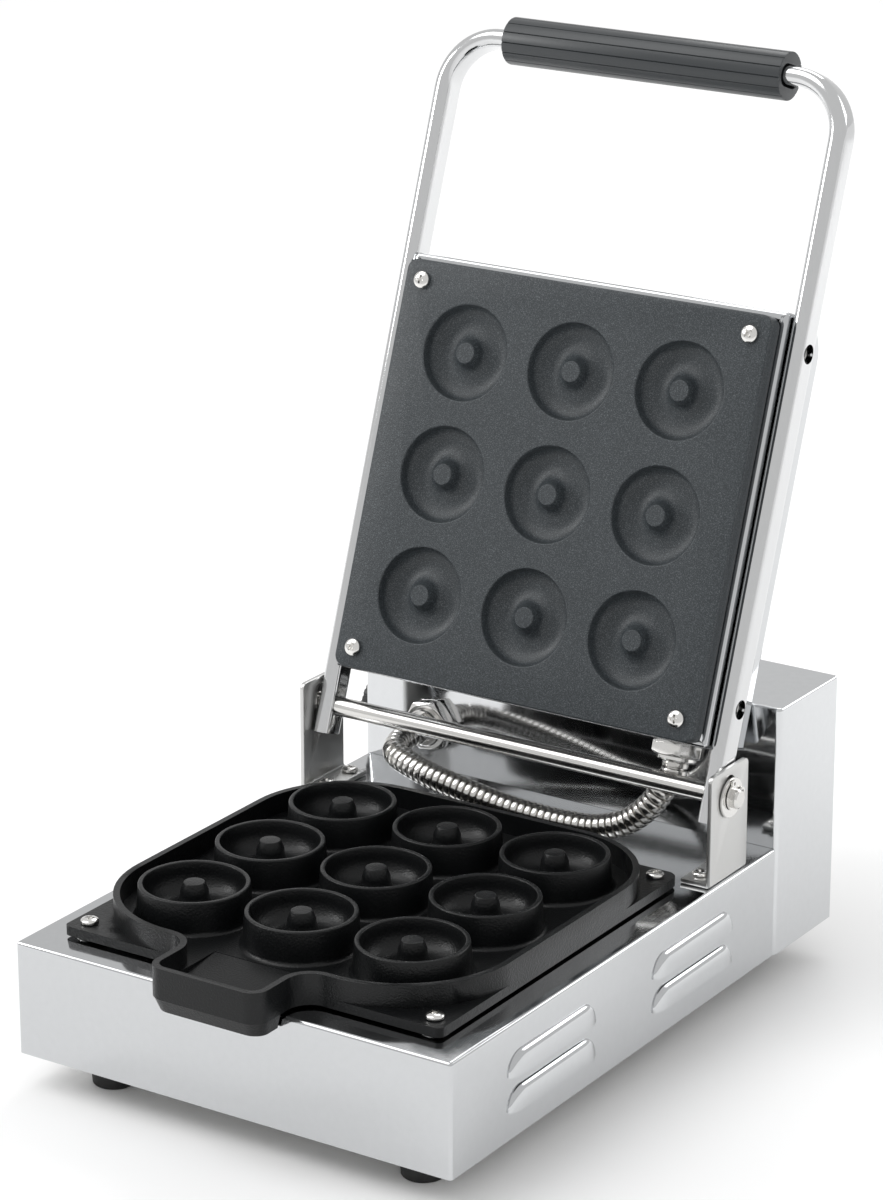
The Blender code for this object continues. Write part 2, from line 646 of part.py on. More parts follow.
def element(name, location, radius, parent, rotation):
    """Tubular heating element bent in an M in one plane, ends to the rear."""
    span = 60 * MM
    gap_x = 26 * MM
    path = []
    path += [(-span, 74 * MM), (-span, -span + 12 * MM)]
    path += arc((-span + 17 * MM, -span + 12 * MM), 17 * MM, 180, 360, 6)[1:]
    path += [(-gap_x, 30 * MM)]
    path += arc((0, 30 * MM), gap_x, 180, 0, 8)[1:]
    path += [(gap_x, -span + 12 * MM)]
    path += arc((span - 17 * MM, -span + 12 * MM), 17 * MM, 180, 360, 6)[1:]
    path += [(span, 74 * MM)]
    data = bpy.data.curves.new(name, "CURVE")
    data.dimensions = "3D"
    spline = data.splines.new("POLY")
    spline.points.add(len(path) - 1)
    for point, (x, y) in zip(spline.points, path):
        point.co = (x, y, 0, 1)
    data.bevel_depth = radius
    data.bevel_resolution = 2
    data.use_fill_caps = True
    item = bpy.data.objects.new(name, data)
    PARTS.objects.link(item)
    item.location = location
    item.rotation_euler = rotation
    item.parent = parent
    data.materials.append(material("element_steel"))
    return item


def standoffs_and_screws():
    """Chrome spacers under the tray corners and the pan-head screws that go through them."""
    top = FLANGE_TOP - FLANGE_T - GAP
    for index, (x, y) in enumerate(corner_points(TRAY_SCREW)):
        profile = [(2.4 * MM, top), (6.0 * MM, top), (6.0 * MM, DECK_Z + GAP), (2.4 * MM, DECK_Z + GAP)]
        turned(f"standoff_{index + 1}", profile, "zinc_screw", (x, TRAY_Y + y, 0), steps=14)
        pan_screw(f"tray_screw_{index + 1}", (x, TRAY_Y + y, FLANGE_TOP + GAP), 4.7 * MM,
                  2.9 * MM, 1.9 * MM, 6.4 * MM, None)


def pan_screw(name, location, head_r, head_h, shank_r, length, parent, rotation=None):
    """Pan-head screw whose head points along local +Z."""
    profile = [(0, head_h), (head_r * 0.55, head_h * 0.92), (head_r * 0.88, head_h * 0.55),
               (head_r, 0.0), (shank_r, 0.0), (shank_r, -length), (0, -length)]
    item = turned(name, profile, "zinc_screw", location, parent=parent, steps=8)
    if rotation:
        item.rotation_euler = rotation
    return item


# ---------------------------------------------------------------- hinge
def brackets():
    for tag, side in (("left", -1), ("right", 1)):
        x_in, x_out = side * BRACKET_X, side * (BRACKET_X + BRACKET_T)
        low_x, high_x = sorted((x_in, x_out))
        z0 = DECK_Z + GAP
        upright = box(f"bracket_{tag}", (low_x, BRACKET_Y0, z0), (high_x, BRACKET_Y1, BRACKET_TOP),
                      "satin_steel", bevel=3 * MM, segments=2,
                      keep=lambda mid, direction: abs(direction.x) > 0.9 and mid.z > 20 * MM)
        foot_x = side * (BRACKET_X - BRACKET_FOOT)
        low_f, high_f = sorted((foot_x, x_in + side * 1.0 * MM))
        foot = box(f"bracket_foot_{tag}", (low_f, BRACKET_Y0, z0), (high_f, BRACKET_Y1, z0 + BRACKET_T),
                   "satin_steel")
        join(upright, foot)
        z_low, z_high = HINGE_Z - GAP, HINGE_Z + FLOAT + GAP
        slot = prism(f"slot_{tag}", slot_outline(z_low, z_high), -20 * MM, 20 * MM, "satin_steel")
        slot.rotation_euler = (math.pi / 2, 0, math.pi / 2)
        slot.location = (side * BRACKET_X, HINGE_Y, 0)
        cut(upright, slot)
        for index, y in enumerate((BRACKET_Y0 + 9 * MM, BRACKET_Y1 - 6.5 * MM)):
            x = side * (BRACKET_X - 8.6 * MM)
            cut(upright, rod(f"bracket_hole_{tag}{index}", 2.2 * MM, 12 * MM, (x, y, z0), "Z",
                             "satin_steel", sides=10))
            pan_screw(f"bracket_screw_{tag}_{index + 1}", (x, y, z0 + BRACKET_T + GAP), 4.3 * MM,
                      2.6 * MM, 1.8 * MM, BRACKET_T + 0.2 * MM, None)


def slot_outline(low, high):
    """Upright slot with round ends, in the bracket's own plane."""
    points = arc((0, high), SLOT_R, 0, 180, 8)
    points += arc((0, low), SLOT_R, 180, 360, 8)
    return points


def shaft_set():
    centre = (0, HINGE_Y, HINGE_Z)
    half = 135 * MM
    groove = 131.9 * MM
    mesh = [(0, half), (SHAFT_R - 0.8 * MM, half), (SHAFT_R, half - 0.8 * MM),
            (SHAFT_R, groove + 0.2 * MM), (SHAFT_R - 0.9 * MM, groove + 0.2 * MM),
            (SHAFT_R - 0.9 * MM, groove - 1.5 * MM), (SHAFT_R, groove - 1.5 * MM)]
    profile = mesh + [(r, -h) for r, h in reversed(mesh)]
    turned("hinge_shaft", profile, "satin_steel", centre, axis="X", steps=20)
    for tag, side in (("left", -1), ("right", 1)):
        x = side * (BRACKET_X + BRACKET_T + GAP)
        washer = [(SHAFT_R + GAP, 1.5 * MM), (10.7 * MM, 1.5 * MM), (10.7 * MM, 0), (SHAFT_R + GAP, 0)]
        item = turned(f"washer_{tag}", washer, "zinc_screw", (x, HINGE_Y, HINGE_Z), steps=20)
        item.rotation_euler = (0, side * math.pi / 2, 0)
        circlip(f"circlip_{tag}", side, side * (groove - 0.65 * MM))


def circlip(name, side, x):
    """External retaining ring with two eyes, open upwards and to the rear."""
    inner, outer = SHAFT_R - 0.9 * MM + GAP, 7.4 * MM
    open_deg = 32
    outline = arc((0, 0), outer, open_deg, 360 - open_deg, 16)
    outline += arc((0, 0), inner, 360 - open_deg, open_deg, 16)
    clip = prism(name, outline, -0.5 * MM, 0.5 * MM, "zinc_screw")
    for index, sign in enumerate((-1, 1)):
        angle = math.radians(sign * (open_deg + 11))
        eye = rod(f"{name}_eye{index}", 2.1 * MM, 1.0 * MM,
                  (8.0 * MM * math.cos(angle), 8.0 * MM * math.sin(angle), 0), "Z", "zinc_screw",
                  sides=10)
        eye.parent = clip
        join(clip, eye)
    clip.rotation_euler = (math.pi / 2, math.radians(-52), math.pi / 2)
    clip.location = (x, HINGE_Y, HINGE_Z)
    return clip


# ---------------------------------------------------------------- head
def head_plate():
    face, back = FACE_Y, FACE_Y + PLATE_T
    outline = [(x, z) for x, z in slab_outline(PLATE_HALF, 6 * MM, 6 * MM)]
    plate = prism("head_plate", outline, 0, PLATE_T, "grey_cast", HEAD)
    plate.location = (0, back, PLATE_V)
    plate.rotation_euler = (math.pi / 2, 0, 0)
    profile = cavity_profile()
    for row in (-1, 0, 1):
        for column in (-1, 0, 1):
            hollow = turned(f"cavity_{row + 1}{column + 1}", profile, "grey_cast",
                            (column * PITCH, face, PLATE_V + row * PITCH), parent=HEAD, steps=16)
            hollow.rotation_euler = (math.pi / 2, 0, 0)
            cut(plate, hollow)
    for index, (x, v) in enumerate(corner_points(PLATE_SCREW)):
        cut(plate, rod(f"plate_hole_{index}", 2.4 * MM, 40 * MM, (x, face, PLATE_V + v), "Y",
                       "grey_cast", HEAD, sides=10))
        pan_screw(f"head_screw_{index + 1}", (x, face - GAP, PLATE_V + v), 4.7 * MM, 2.9 * MM,
                  1.9 * MM, 16 * MM, HEAD, rotation=(math.pi / 2, 0, 0))
    return plate


def cavity_profile():
    """Ring-shaped hollow in the plate, closed round its centre pin, as a turned loop."""
    mid = (CAVITY_R + PIN_R) / 2
    deep = -8.2 * MM
    return [(PIN_R, 1.0 * MM), (CAVITY_R, 1.0 * MM), (CAVITY_R, 0), (CAVITY_R - 1.2 * MM, -4.2 * MM),
            (CAVITY_R - 4.6 * MM, deep + 1.2 * MM), (mid, deep), (PIN_R + 4.4 * MM, deep + 1.6 * MM),
            (PIN_R + 0.9 * MM, -3.6 * MM), (PIN_R, 0)]


def head_casing():
    """Drawn cover behind the plate: open to the plate, rolled along its upper rear edge."""
    front = FACE_Y + PLATE_T + GAP
    half = HEAD_HALF
    depth = (HEAD_BACK - front) / 2
    tall = (HEAD_V1 - HEAD_V0) / 2
    mesh_bm = box_bm(Vector((2 * half, 2 * depth, 2 * tall)))
    bevel_edges(mesh_bm, HEAD_R, 6,
                lambda mid, direction: mid.z > tall * 0.99 and mid.y > depth * 0.99)
    bevel_edges(mesh_bm, 2.5 * MM, 2, lambda mid, direction: mid.y > -depth * 0.99
                and abs(direction.x) < 0.5 and abs(abs(mid.x) - half) < 1e-6)
    mesh_bm.normal_update()
    doomed = [face for face in mesh_bm.faces if face.normal.y < -0.99]
    bmesh.ops.delete(mesh_bm, geom=doomed, context="FACES")
    casing = place("head_casing", mesh_bm, "polished_steel",
                   (0, front + depth, HEAD_V0 + tall), HEAD)
    shell = casing.modifiers.new("sheet", "SOLIDIFY")
    shell.thickness = SHEET
    shell.offset = -1.0
    shell.use_even_offset = True
    cut(casing, rod("head_gland_hole", 8.2 * MM, 12 * MM, (HEAD_NUT[0], HEAD_NUT[1], HEAD_V0), "Z",
                    "polished_steel", HEAD))
    for side in (-1, 1):
        for index, v in enumerate(ARM_BOLT_V):
            cut(casing, rod(f"casing_bolt_hole_{side}{index}", 2.9 * MM, 12 * MM,
                            (side * HEAD_HALF, 0, v), "X", "polished_steel", HEAD, sides=10))
    return casing


def head_inside():
    """Element, its clamp plate and the insulation pad inside the head."""
    back = FACE_Y + PLATE_T
    element("head_element", (0, back + 3.3 * MM + GAP, PLATE_V), 3.3 * MM, HEAD,
            (math.pi / 2, math.pi, 0))
    box("head_clamp_plate", (-80 * MM, back + 7.3 * MM, PLATE_V - 80 * MM),
        (80 * MM, back + 8.8 * MM, PLATE_V + 80 * MM), "satin_steel", HEAD)
    box("head_insulation", (-100 * MM, back + 9.2 * MM, PLATE_V - 92 * MM),
        (100 * MM, HEAD_BACK - 10 * MM, PLATE_V + 88 * MM), "insulation", HEAD)


def stadium(width, thickness, sides):
    """Flat-oval section: width along x, thickness along y."""
    radius = thickness / 2
    reach = width / 2 - radius
    return (arc((reach, 0), radius, -90, 90, sides) + arc((-reach, 0), radius, 90, 270, sides))


def swept_bar(name, path, section, parent):
    """Sweeps a flat-oval section along a path in the head's x-z plane."""
    mesh_bm = bmesh.new()
    rows = []
    for index, (x, z) in enumerate(path):
        before = Vector(path[max(index - 1, 0)])
        after = Vector(path[min(index + 1, len(path) - 1)])
        along = (after - before).normalized()
        side = Vector((along.y, -along.x))
        ring = []
        for depth, thick in section:
            ring.append(mesh_bm.verts.new((x + side.x * thick, depth, z + side.y * thick)))
        rows.append(ring)
    count = len(section)
    for first, second in zip(rows, rows[1:]):
        for index in range(count):
            after = (index + 1) % count
            mesh_bm.faces.new((first[index], first[after], second[after], second[index]))
    mesh_bm.faces.new(rows[0])
    mesh_bm.faces.new(list(reversed(rows[-1])))
    return place(name, mesh_bm, "polished_steel", (0, 0, 0), parent)


def handle_path(extra):
    """Centre line of the U-shaped handle, from the left foot round to the right one."""
    points = [(-ARM_X, ARM_LOW - extra), (-ARM_X, GRIP_V - BEND_R)]
    points += arc((-ARM_X + BEND_R, GRIP_V - BEND_R), BEND_R, 180, 90, 7)[1:]
    points += arc((ARM_X - BEND_R, GRIP_V - BEND_R), BEND_R, 90, 0, 7)
    points += [(ARM_X, ARM_LOW - extra)]
    return points


def handle_frame():
    outer = stadium(ARM_W, ARM_T, 4)
    inner = stadium(ARM_W - 2 * ARM_WALL, ARM_T - 2 * ARM_WALL, 4)
    frame = swept_bar("handle_frame", handle_path(0.0), outer, HEAD)
    core = swept_bar("handle_core", handle_path(5 * MM), inner, HEAD)
    cut(frame, core)
    cut(frame, rod("handle_pivot_hole", SHAFT_R + 0.2 * MM, 270 * MM, (0, 0, 0), "X", "polished_steel",
                   HEAD, sides=20))
    for side in (-1, 1):
        tag = "right" if side > 0 else "left"
        for index, v in enumerate(ARM_BOLT_V):
            inner_x = side * (ARM_X - ARM_T / 2)
            cut(frame, rod(f"access_{tag}{index}", 5.15 * MM, 8 * MM,
                           (side * (ARM_X + ARM_T / 2 - 0.5 * MM), 0, v), "X", "polished_steel",
                           HEAD, sides=16))
            cut(frame, rod(f"bolt_way_{tag}{index}", 2.9 * MM, 6 * MM, (inner_x, 0, v), "X",
                           "polished_steel", HEAD, sides=10))
            pan_screw(f"arm_bolt_{tag}_{index + 1}", (inner_x + side * (ARM_WALL + GAP), 0, v),
                      4.3 * MM, 2.6 * MM, 2.3 * MM, 6.5 * MM, HEAD,
                      rotation=(0, side * math.pi / 2, 0))
    return frame


def grip():
    """Fluted phenolic grip with a flat-oval bore, threaded on the handle bar."""
    flutes = 14
    outline = []
    for index in range(flutes):
        start = 360 * index / flutes
        for share, depth in ((0.0, 0.75), (0.16, 0.0), (0.84, 0.0)):
            angle = math.radians(start + share * 360 / flutes)
            radius = GRIP_R - depth * MM
            outline.append((radius * math.cos(angle), radius * math.sin(angle)))
    body = prism("grip", outline, -GRIP_HALF, GRIP_HALF, "phenolic", HEAD)
    body.rotation_euler = (0, math.pi / 2, 0)
    body.location = (0, 0, GRIP_V)
    bore = swept_bar("grip_bore", [(-GRIP_HALF - 10 * MM, GRIP_V), (GRIP_HALF + 10 * MM, GRIP_V)],
                     stadium(ARM_W + 2.4 * MM, ARM_T + 2.4 * MM, 5), HEAD)
    return cut(body, bore)


# ---------------------------------------------------------------- conduit
def gland(name, location, rotation, parent):
    """Hexagonal conduit gland: nut, collar and threaded tail through the sheet."""
    across = NUT_AF / math.sqrt(3)
    outline = arc((0, 0), across, 0, 300, 5)
    nut = prism(name, outline, GAP, 11.2 * MM, "zinc_screw", parent)
    nut.location = location
    nut.rotation_euler = rotation
    tail = rod(f"{name}_tail", 7.8 * MM, 9 * MM, (0, 0, -2.8 * MM), "Z", "zinc_screw", parent)
    bore = rod(f"{name}_bore", 5.0 * MM, 60 * MM, (0, 0, 0), "Z", "zinc_screw", parent, sides=12)
    for piece in (tail, bore):
        piece.parent = nut
    join(nut, tail)
    cut(nut, bore)
    return nut


def smooth_path(points, samples):
    """Catmull-Rom curve through the given points."""
    ends = [2 * Vector(points[0]) - Vector(points[1])]
    ends += [Vector(p) for p in points]
    ends += [2 * Vector(points[-1]) - Vector(points[-2])]
    curve = []
    for index in range(1, len(ends) - 2):
        a, b, c, d = ends[index - 1:index + 3]
        for step in range(samples):
            t = step / samples
            curve.append(0.5 * ((2 * b) + (c - a) * t + (2 * a - 5 * b + 4 * c - d) * t * t
                                + (3 * b - a - 3 * c + d) * t * t * t))
    curve.append(ends[-2])
    return curve


def head_to_base(x, y, z):
    """A head-frame point in the base frame, head open."""
    return Vector((x, HINGE_Y + y * math.cos(LEAN) + z * math.sin(LEAN),
                   HINGE_Z - y * math.sin(LEAN) + z * math.cos(LEAN)))


def conduit_hose():
    """Interlocked conduit from the control box gland round to the head gland."""
    deck = DECK_Z
    mouth = BOX_Y0 - 11.2 * MM - 1.3 * GAP
    start = (BOX_NUT[0], mouth, BOX_NUT[1])
    end = tuple(head_to_base(*HEAD_NUT, HEAD_V0 - 11.2 * MM - 1.3 * GAP))
    route = [(BOX_NUT[0], mouth - 5 * MM, BOX_NUT[1]),
             (-86 * MM, 291 * MM, deck + 26.9 * MM), (-86 * MM, 279 * MM, deck + 25.4 * MM),
             (-79 * MM, 268 * MM, deck + 23.6 * MM), (-56 * MM, 262 * MM, deck + 19.8 * MM),
             (-30 * MM, 261 * MM, deck + 15.6 * MM), (-9 * MM, 262 * MM, deck + 11.9 * MM),
             (11 * MM, 264.5 * MM, deck + 9.2 * MM), (30 * MM, 267 * MM, deck + 8.1 * MM),
             (46.5 * MM, 270 * MM, deck + 8.7 * MM), (63 * MM, 273.5 * MM, deck + 14.6 * MM),
             (75.5 * MM, 276 * MM, deck + 26 * MM), (82.5 * MM, 279 * MM, deck + 38 * MM),
             tuple(head_to_base(*HEAD_NUT, HEAD_V0 - 17 * MM))]
    path = [start] + smooth_path(route, 2) + [end]
    data = bpy.data.curves.new("conduit_hose", "CURVE")
    data.dimensions = "3D"
    spline = data.splines.new("POLY")
    spline.points.add(len(path) - 1)
    for point, place_at in zip(spline.points, path):
        point.co = (*place_at, 1)
    data.bevel_depth = HOSE_R
    data.bevel_resolution = 2
    data.use_fill_caps = True
    item = bpy.data.objects.new("conduit_hose", data)
    PARTS.objects.link(item)
    item.parent = ROOT
    data.materials.append(material("hose_steel"))
    return item


# ---------------------------------------------------------------- assembly
clear_scene()
PARTS = make_collection("donut_maker")
CUTTERS = make_collection("cutters")

ROOT = bpy.data.objects.new("machine_frame", None)
PARTS.objects.link(ROOT)
ROOT.location = (FRAME_SHIFT[0], FRAME_SHIFT[1], 0)

HEAD = bpy.data.objects.new("head_pivot", None)
PARTS.objects.link(HEAD)
HEAD.parent = ROOT
HEAD.location = (0, HINGE_Y, HINGE_Z)
HEAD.rotation_euler = (-LEAN, 0, 0)
bpy.context.view_layer.update()

base_casing()
bottom_plate()
feet()
control_box()
rear_panel()
cord_inlet()
controls()
lower_tray()
lower_heater()
standoffs_and_screws()
brackets()
shaft_set()
head_plate()
head_casing()
head_inside()
handle_frame()
grip()
gland("box_gland", (BOX_NUT[0], BOX_Y0, BOX_NUT[1]), (math.pi / 2, 0, 0), ROOT)
gland("head_gland", (HEAD_NUT[0], HEAD_NUT[1], HEAD_V0), (math.pi, 0, 0), HEAD)
conduit_hose()
bpy.context.view_layer.update()
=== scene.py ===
"""Looks of a countertop donut maker: casing, ring tray, hinged head, handle, conduit and controls.

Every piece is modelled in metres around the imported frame, so places come from the frame's own
nodes and joints. X runs to the operator's right, -Y towards the operator and Z up.
"""

from __future__ import annotations

import json
import logging
import math
from dataclasses import dataclass, field
from enum import Enum
from typing import Callable, Iterable, Sequence

import bmesh
import bpy
from mathutils import Matrix, Vector

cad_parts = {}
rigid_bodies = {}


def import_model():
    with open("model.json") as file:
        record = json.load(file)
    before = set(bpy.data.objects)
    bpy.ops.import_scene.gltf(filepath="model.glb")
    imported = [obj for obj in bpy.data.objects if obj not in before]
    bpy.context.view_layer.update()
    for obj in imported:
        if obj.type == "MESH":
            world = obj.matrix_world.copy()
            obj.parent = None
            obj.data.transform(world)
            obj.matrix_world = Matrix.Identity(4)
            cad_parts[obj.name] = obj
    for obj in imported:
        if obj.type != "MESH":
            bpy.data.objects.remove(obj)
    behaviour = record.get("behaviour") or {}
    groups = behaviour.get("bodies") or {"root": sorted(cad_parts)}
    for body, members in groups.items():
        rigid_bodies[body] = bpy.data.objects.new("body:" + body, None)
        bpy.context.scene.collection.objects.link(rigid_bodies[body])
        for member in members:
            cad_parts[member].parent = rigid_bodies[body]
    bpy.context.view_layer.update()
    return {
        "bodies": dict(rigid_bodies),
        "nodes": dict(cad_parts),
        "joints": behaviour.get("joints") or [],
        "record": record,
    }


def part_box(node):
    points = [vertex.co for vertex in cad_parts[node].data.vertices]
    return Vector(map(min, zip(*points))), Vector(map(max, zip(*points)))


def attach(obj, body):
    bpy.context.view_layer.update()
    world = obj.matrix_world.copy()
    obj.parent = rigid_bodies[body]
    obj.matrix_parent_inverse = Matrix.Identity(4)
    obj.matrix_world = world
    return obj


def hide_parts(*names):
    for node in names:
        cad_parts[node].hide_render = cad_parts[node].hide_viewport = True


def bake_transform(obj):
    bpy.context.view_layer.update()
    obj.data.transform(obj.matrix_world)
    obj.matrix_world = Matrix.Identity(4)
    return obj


LOG = logging.getLogger("donut_maker")
MM = 0.001
EDGE = 1e-5  # metres: how far from a face an edge's middle may lie and still be on it
ARM_BOLTS = (45 * MM, 231 * MM)  # the arms' bolts, up from the hinge
Point2 = tuple[float, float]
Point3 = tuple[float, float, float]


class Axis(Enum):
    """The direction that a turned or traced piece points its local Z along."""

    X_PLUS = (0.0, math.pi / 2, 0.0)
    X_MINUS = (0.0, -math.pi / 2, 0.0)
    Y_PLUS = (-math.pi / 2, 0.0, 0.0)
    Y_MINUS = (math.pi / 2, 0.0, 0.0)
    Z_PLUS = (0.0, 0.0, 0.0)
    Z_MINUS = (math.pi, 0.0, 0.0)

    def matrix(self) -> Matrix:
        """Rotation that takes +Z to this direction."""
        x, y, z = self.value
        return Matrix.Rotation(z, 4, "Z") @ Matrix.Rotation(y, 4, "Y") @ Matrix.Rotation(x, 4, "X")


# ------------------------------------------------------------------ finishes
class NodeBench:
    """Lays out a material's nodes."""

    def __init__(self, name: str) -> None:
        """Starts an empty node material with a Principled shader.

        Args:
            name: the material's name.
        """
        self.material = bpy.data.materials.new(name)
        self.material.use_nodes = True
        self.tree = self.material.node_tree
        self.shader = self.tree.nodes["Principled BSDF"]
        self.coordinates = self.tree.nodes.new("ShaderNodeTexCoord")

    def node(self, kind: str, **values: object) -> bpy.types.Node:
        """Adds a node and sets its sockets by name or its properties.

        Args:
            kind: the node's type name.
            values: socket names with spaces as underscores, or property names.

        Returns:
            The new node.
        """
        made = self.tree.nodes.new(kind)
        for key, value in values.items():
            label = key.replace("_", " ")
            if label in made.inputs:
                made.inputs[label].default_value = value
            else:
                setattr(made, key, value)
        return made

    def link(self, source: bpy.types.NodeSocket, target: bpy.types.NodeSocket) -> None:
        """Joins two sockets."""
        self.tree.links.new(source, target)

    def noise(self, scale: float, detail: float = 2.0, stretch: Point3 = (1, 1, 1),
              roughness: float = 0.5) -> bpy.types.NodeSocket:
        """Noise on object coordinates.

        Args:
            scale: cycles per metre.
            detail: octaves.
            stretch: scale of each axis, for brushed or drawn grain.
            roughness: weight of the finer octaves.

        Returns:
            The noise's value socket.
        """
        place = self.node("ShaderNodeMapping")
        place.inputs["Scale"].default_value = stretch
        self.link(self.coordinates.outputs["Object"], place.inputs["Vector"])
        grain = self.node("ShaderNodeTexNoise", Scale=scale, Detail=detail, Roughness=roughness)
        self.link(place.outputs["Vector"], grain.inputs["Vector"])
        return grain.outputs["Fac"]

    def ramp(self, source: bpy.types.NodeSocket,
             stops: Sequence[tuple[float, Point3]]) -> bpy.types.NodeSocket:
        """Maps a value through a colour ramp.

        Args:
            source: the value.
            stops: pairs of position and RGB colour, in order.

        Returns:
            The ramp's colour socket.
        """
        ramp = self.node("ShaderNodeValToRGB")
        ramp.color_ramp.elements[0].position = stops[0][0]
        ramp.color_ramp.elements[0].color = (*stops[0][1], 1)
        ramp.color_ramp.elements[1].position = stops[-1][0]
        ramp.color_ramp.elements[1].color = (*stops[-1][1], 1)
        for position, colour in stops[1:-1]:
            made = ramp.color_ramp.elements.new(position)
            made.color = (*colour, 1)
        self.link(source, ramp.inputs["Fac"])
        return ramp.outputs["Color"]

    def bump(self, source: bpy.types.NodeSocket, strength: float, distance: float) -> bpy.types.NodeSocket:
        """Bumps the shading by a height value.

        Args:
            source: the height.
            strength: 0 to 1.
            distance: the height's depth in metres.

        Returns:
            The normal socket, for a further bump or the shader.
        """
        made = self.node("ShaderNodeBump", Strength=strength, Distance=distance)
        self.link(source, made.inputs["Height"])
        return made.outputs["Normal"]


@dataclass(frozen=True)
class Steel:
    """Polished or satin sheet metal with drawn grain and faint unevenness."""

    name: str
    tint: Point3
    low: float
    high: float
    grain: float = 260.0
    stretch: Point3 = (1, 1, 1)
    ripple: float = 0.0
    grit: float = 0.0

    def material(self) -> bpy.types.Material:
        """Builds the metal's nodes.

        Returns:
            The finished material.
        """
        bench = NodeBench(self.name)
        shader = bench.shader
        shader.inputs["Metallic"].default_value = 1.0
        tone = bench.noise(self.grain, 4.0, self.stretch)
        dim = tuple(c * 0.975 for c in self.tint)
        bench.link(bench.ramp(tone, [(0.3, dim), (0.7, self.tint)]), shader.inputs["Base Color"])
        spread = bench.node("ShaderNodeMapRange")
        spread.inputs["To Min"].default_value = self.low
        spread.inputs["To Max"].default_value = self.high
        bench.link(tone, spread.inputs["Value"])
        bench.link(spread.outputs["Result"], shader.inputs["Roughness"])
        normal = None
        if self.ripple:
            normal = bench.bump(bench.noise(14.0, 1.0), 0.5, self.ripple)
        if self.grit:
            made = bench.node("ShaderNodeBump", Strength=0.6, Distance=self.grit)
            bench.link(bench.noise(1400.0, 3.0, self.stretch), made.inputs["Height"])
            if normal:
                bench.link(normal, made.inputs["Normal"])
            normal = made.outputs["Normal"]
        if normal:
            bench.link(normal, shader.inputs["Normal"])
        return bench.material


@dataclass(frozen=True)
class Coating:
    """Non-stick coating over a casting: dark, pebbled, with fine paler specks."""

    name: str
    base: Point3
    speck: Point3
    pebble: float
    depth: float
    gloss: float
    speck_from: float = 0.62
    sheen: float = 0.5

    def material(self) -> bpy.types.Material:
        """Builds the coating's nodes.

        Returns:
            The finished material.
        """
        bench = NodeBench(self.name)
        shader = bench.shader
        cloud = bench.noise(26.0, 3.0)
        fine = bench.noise(self.pebble * 1.7, 2.0, roughness=0.7)
        flecks = bench.ramp(fine, [(self.speck_from - 0.06, self.base), (self.speck_from, self.speck)])
        worn = bench.node("ShaderNodeMix", data_type="RGBA", blend_type="MULTIPLY")
        worn.inputs[0].default_value = 0.35
        bench.link(flecks, worn.inputs[6])
        bench.link(bench.ramp(cloud, [(0.3, (0.8, 0.8, 0.8)), (0.7, (1.0, 1.0, 1.0))]), worn.inputs[7])
        bench.link(worn.outputs[2], shader.inputs["Base Color"])
        spread = bench.node("ShaderNodeMapRange")
        spread.inputs["To Min"].default_value = self.gloss - 0.06
        spread.inputs["To Max"].default_value = self.gloss + 0.10
        bench.link(cloud, spread.inputs["Value"])
        bench.link(spread.outputs["Result"], shader.inputs["Roughness"])
        shader.inputs["Specular IOR Level"].default_value = self.sheen
        pebble = bench.noise(self.pebble, 2.0, roughness=0.55)
        bench.link(bench.bump(pebble, 0.7, self.depth), shader.inputs["Normal"])
        return bench.material


@dataclass(frozen=True)
class Moulded:
    """Plastic, rubber, ceramic or fibre with a light mottle and surface texture."""

    name: str
    base: Point3
    accent: Point3
    roughness: float
    texture: float = 700.0
    depth: float = 0.00004
    stretch: Point3 = (1, 1, 1)
    coat: float = 0.0
    passes_light: float = 0.0

    def material(self) -> bpy.types.Material:
        """Builds the moulding's nodes.

        Returns:
            The finished material.
        """
        bench = NodeBench(self.name)
        shader = bench.shader
        mottle = bench.noise(60.0, 3.0, self.stretch)
        bench.link(bench.ramp(mottle, [(0.35, self.base), (0.7, self.accent)]), shader.inputs["Base Color"])
        spread = bench.node("ShaderNodeMapRange")
        spread.inputs["To Min"].default_value = self.roughness - 0.05
        spread.inputs["To Max"].default_value = self.roughness + 0.07
        bench.link(mottle, spread.inputs["Value"])
        bench.link(spread.outputs["Result"], shader.inputs["Roughness"])
        shader.inputs["Coat Weight"].default_value = self.coat
        shader.inputs["Coat Roughness"].default_value = 0.12
        shader.inputs["Transmission Weight"].default_value = self.passes_light
        surface = bench.noise(self.texture, 2.0)
        bench.link(bench.bump(surface, 0.5, self.depth), shader.inputs["Normal"])
        return bench.material


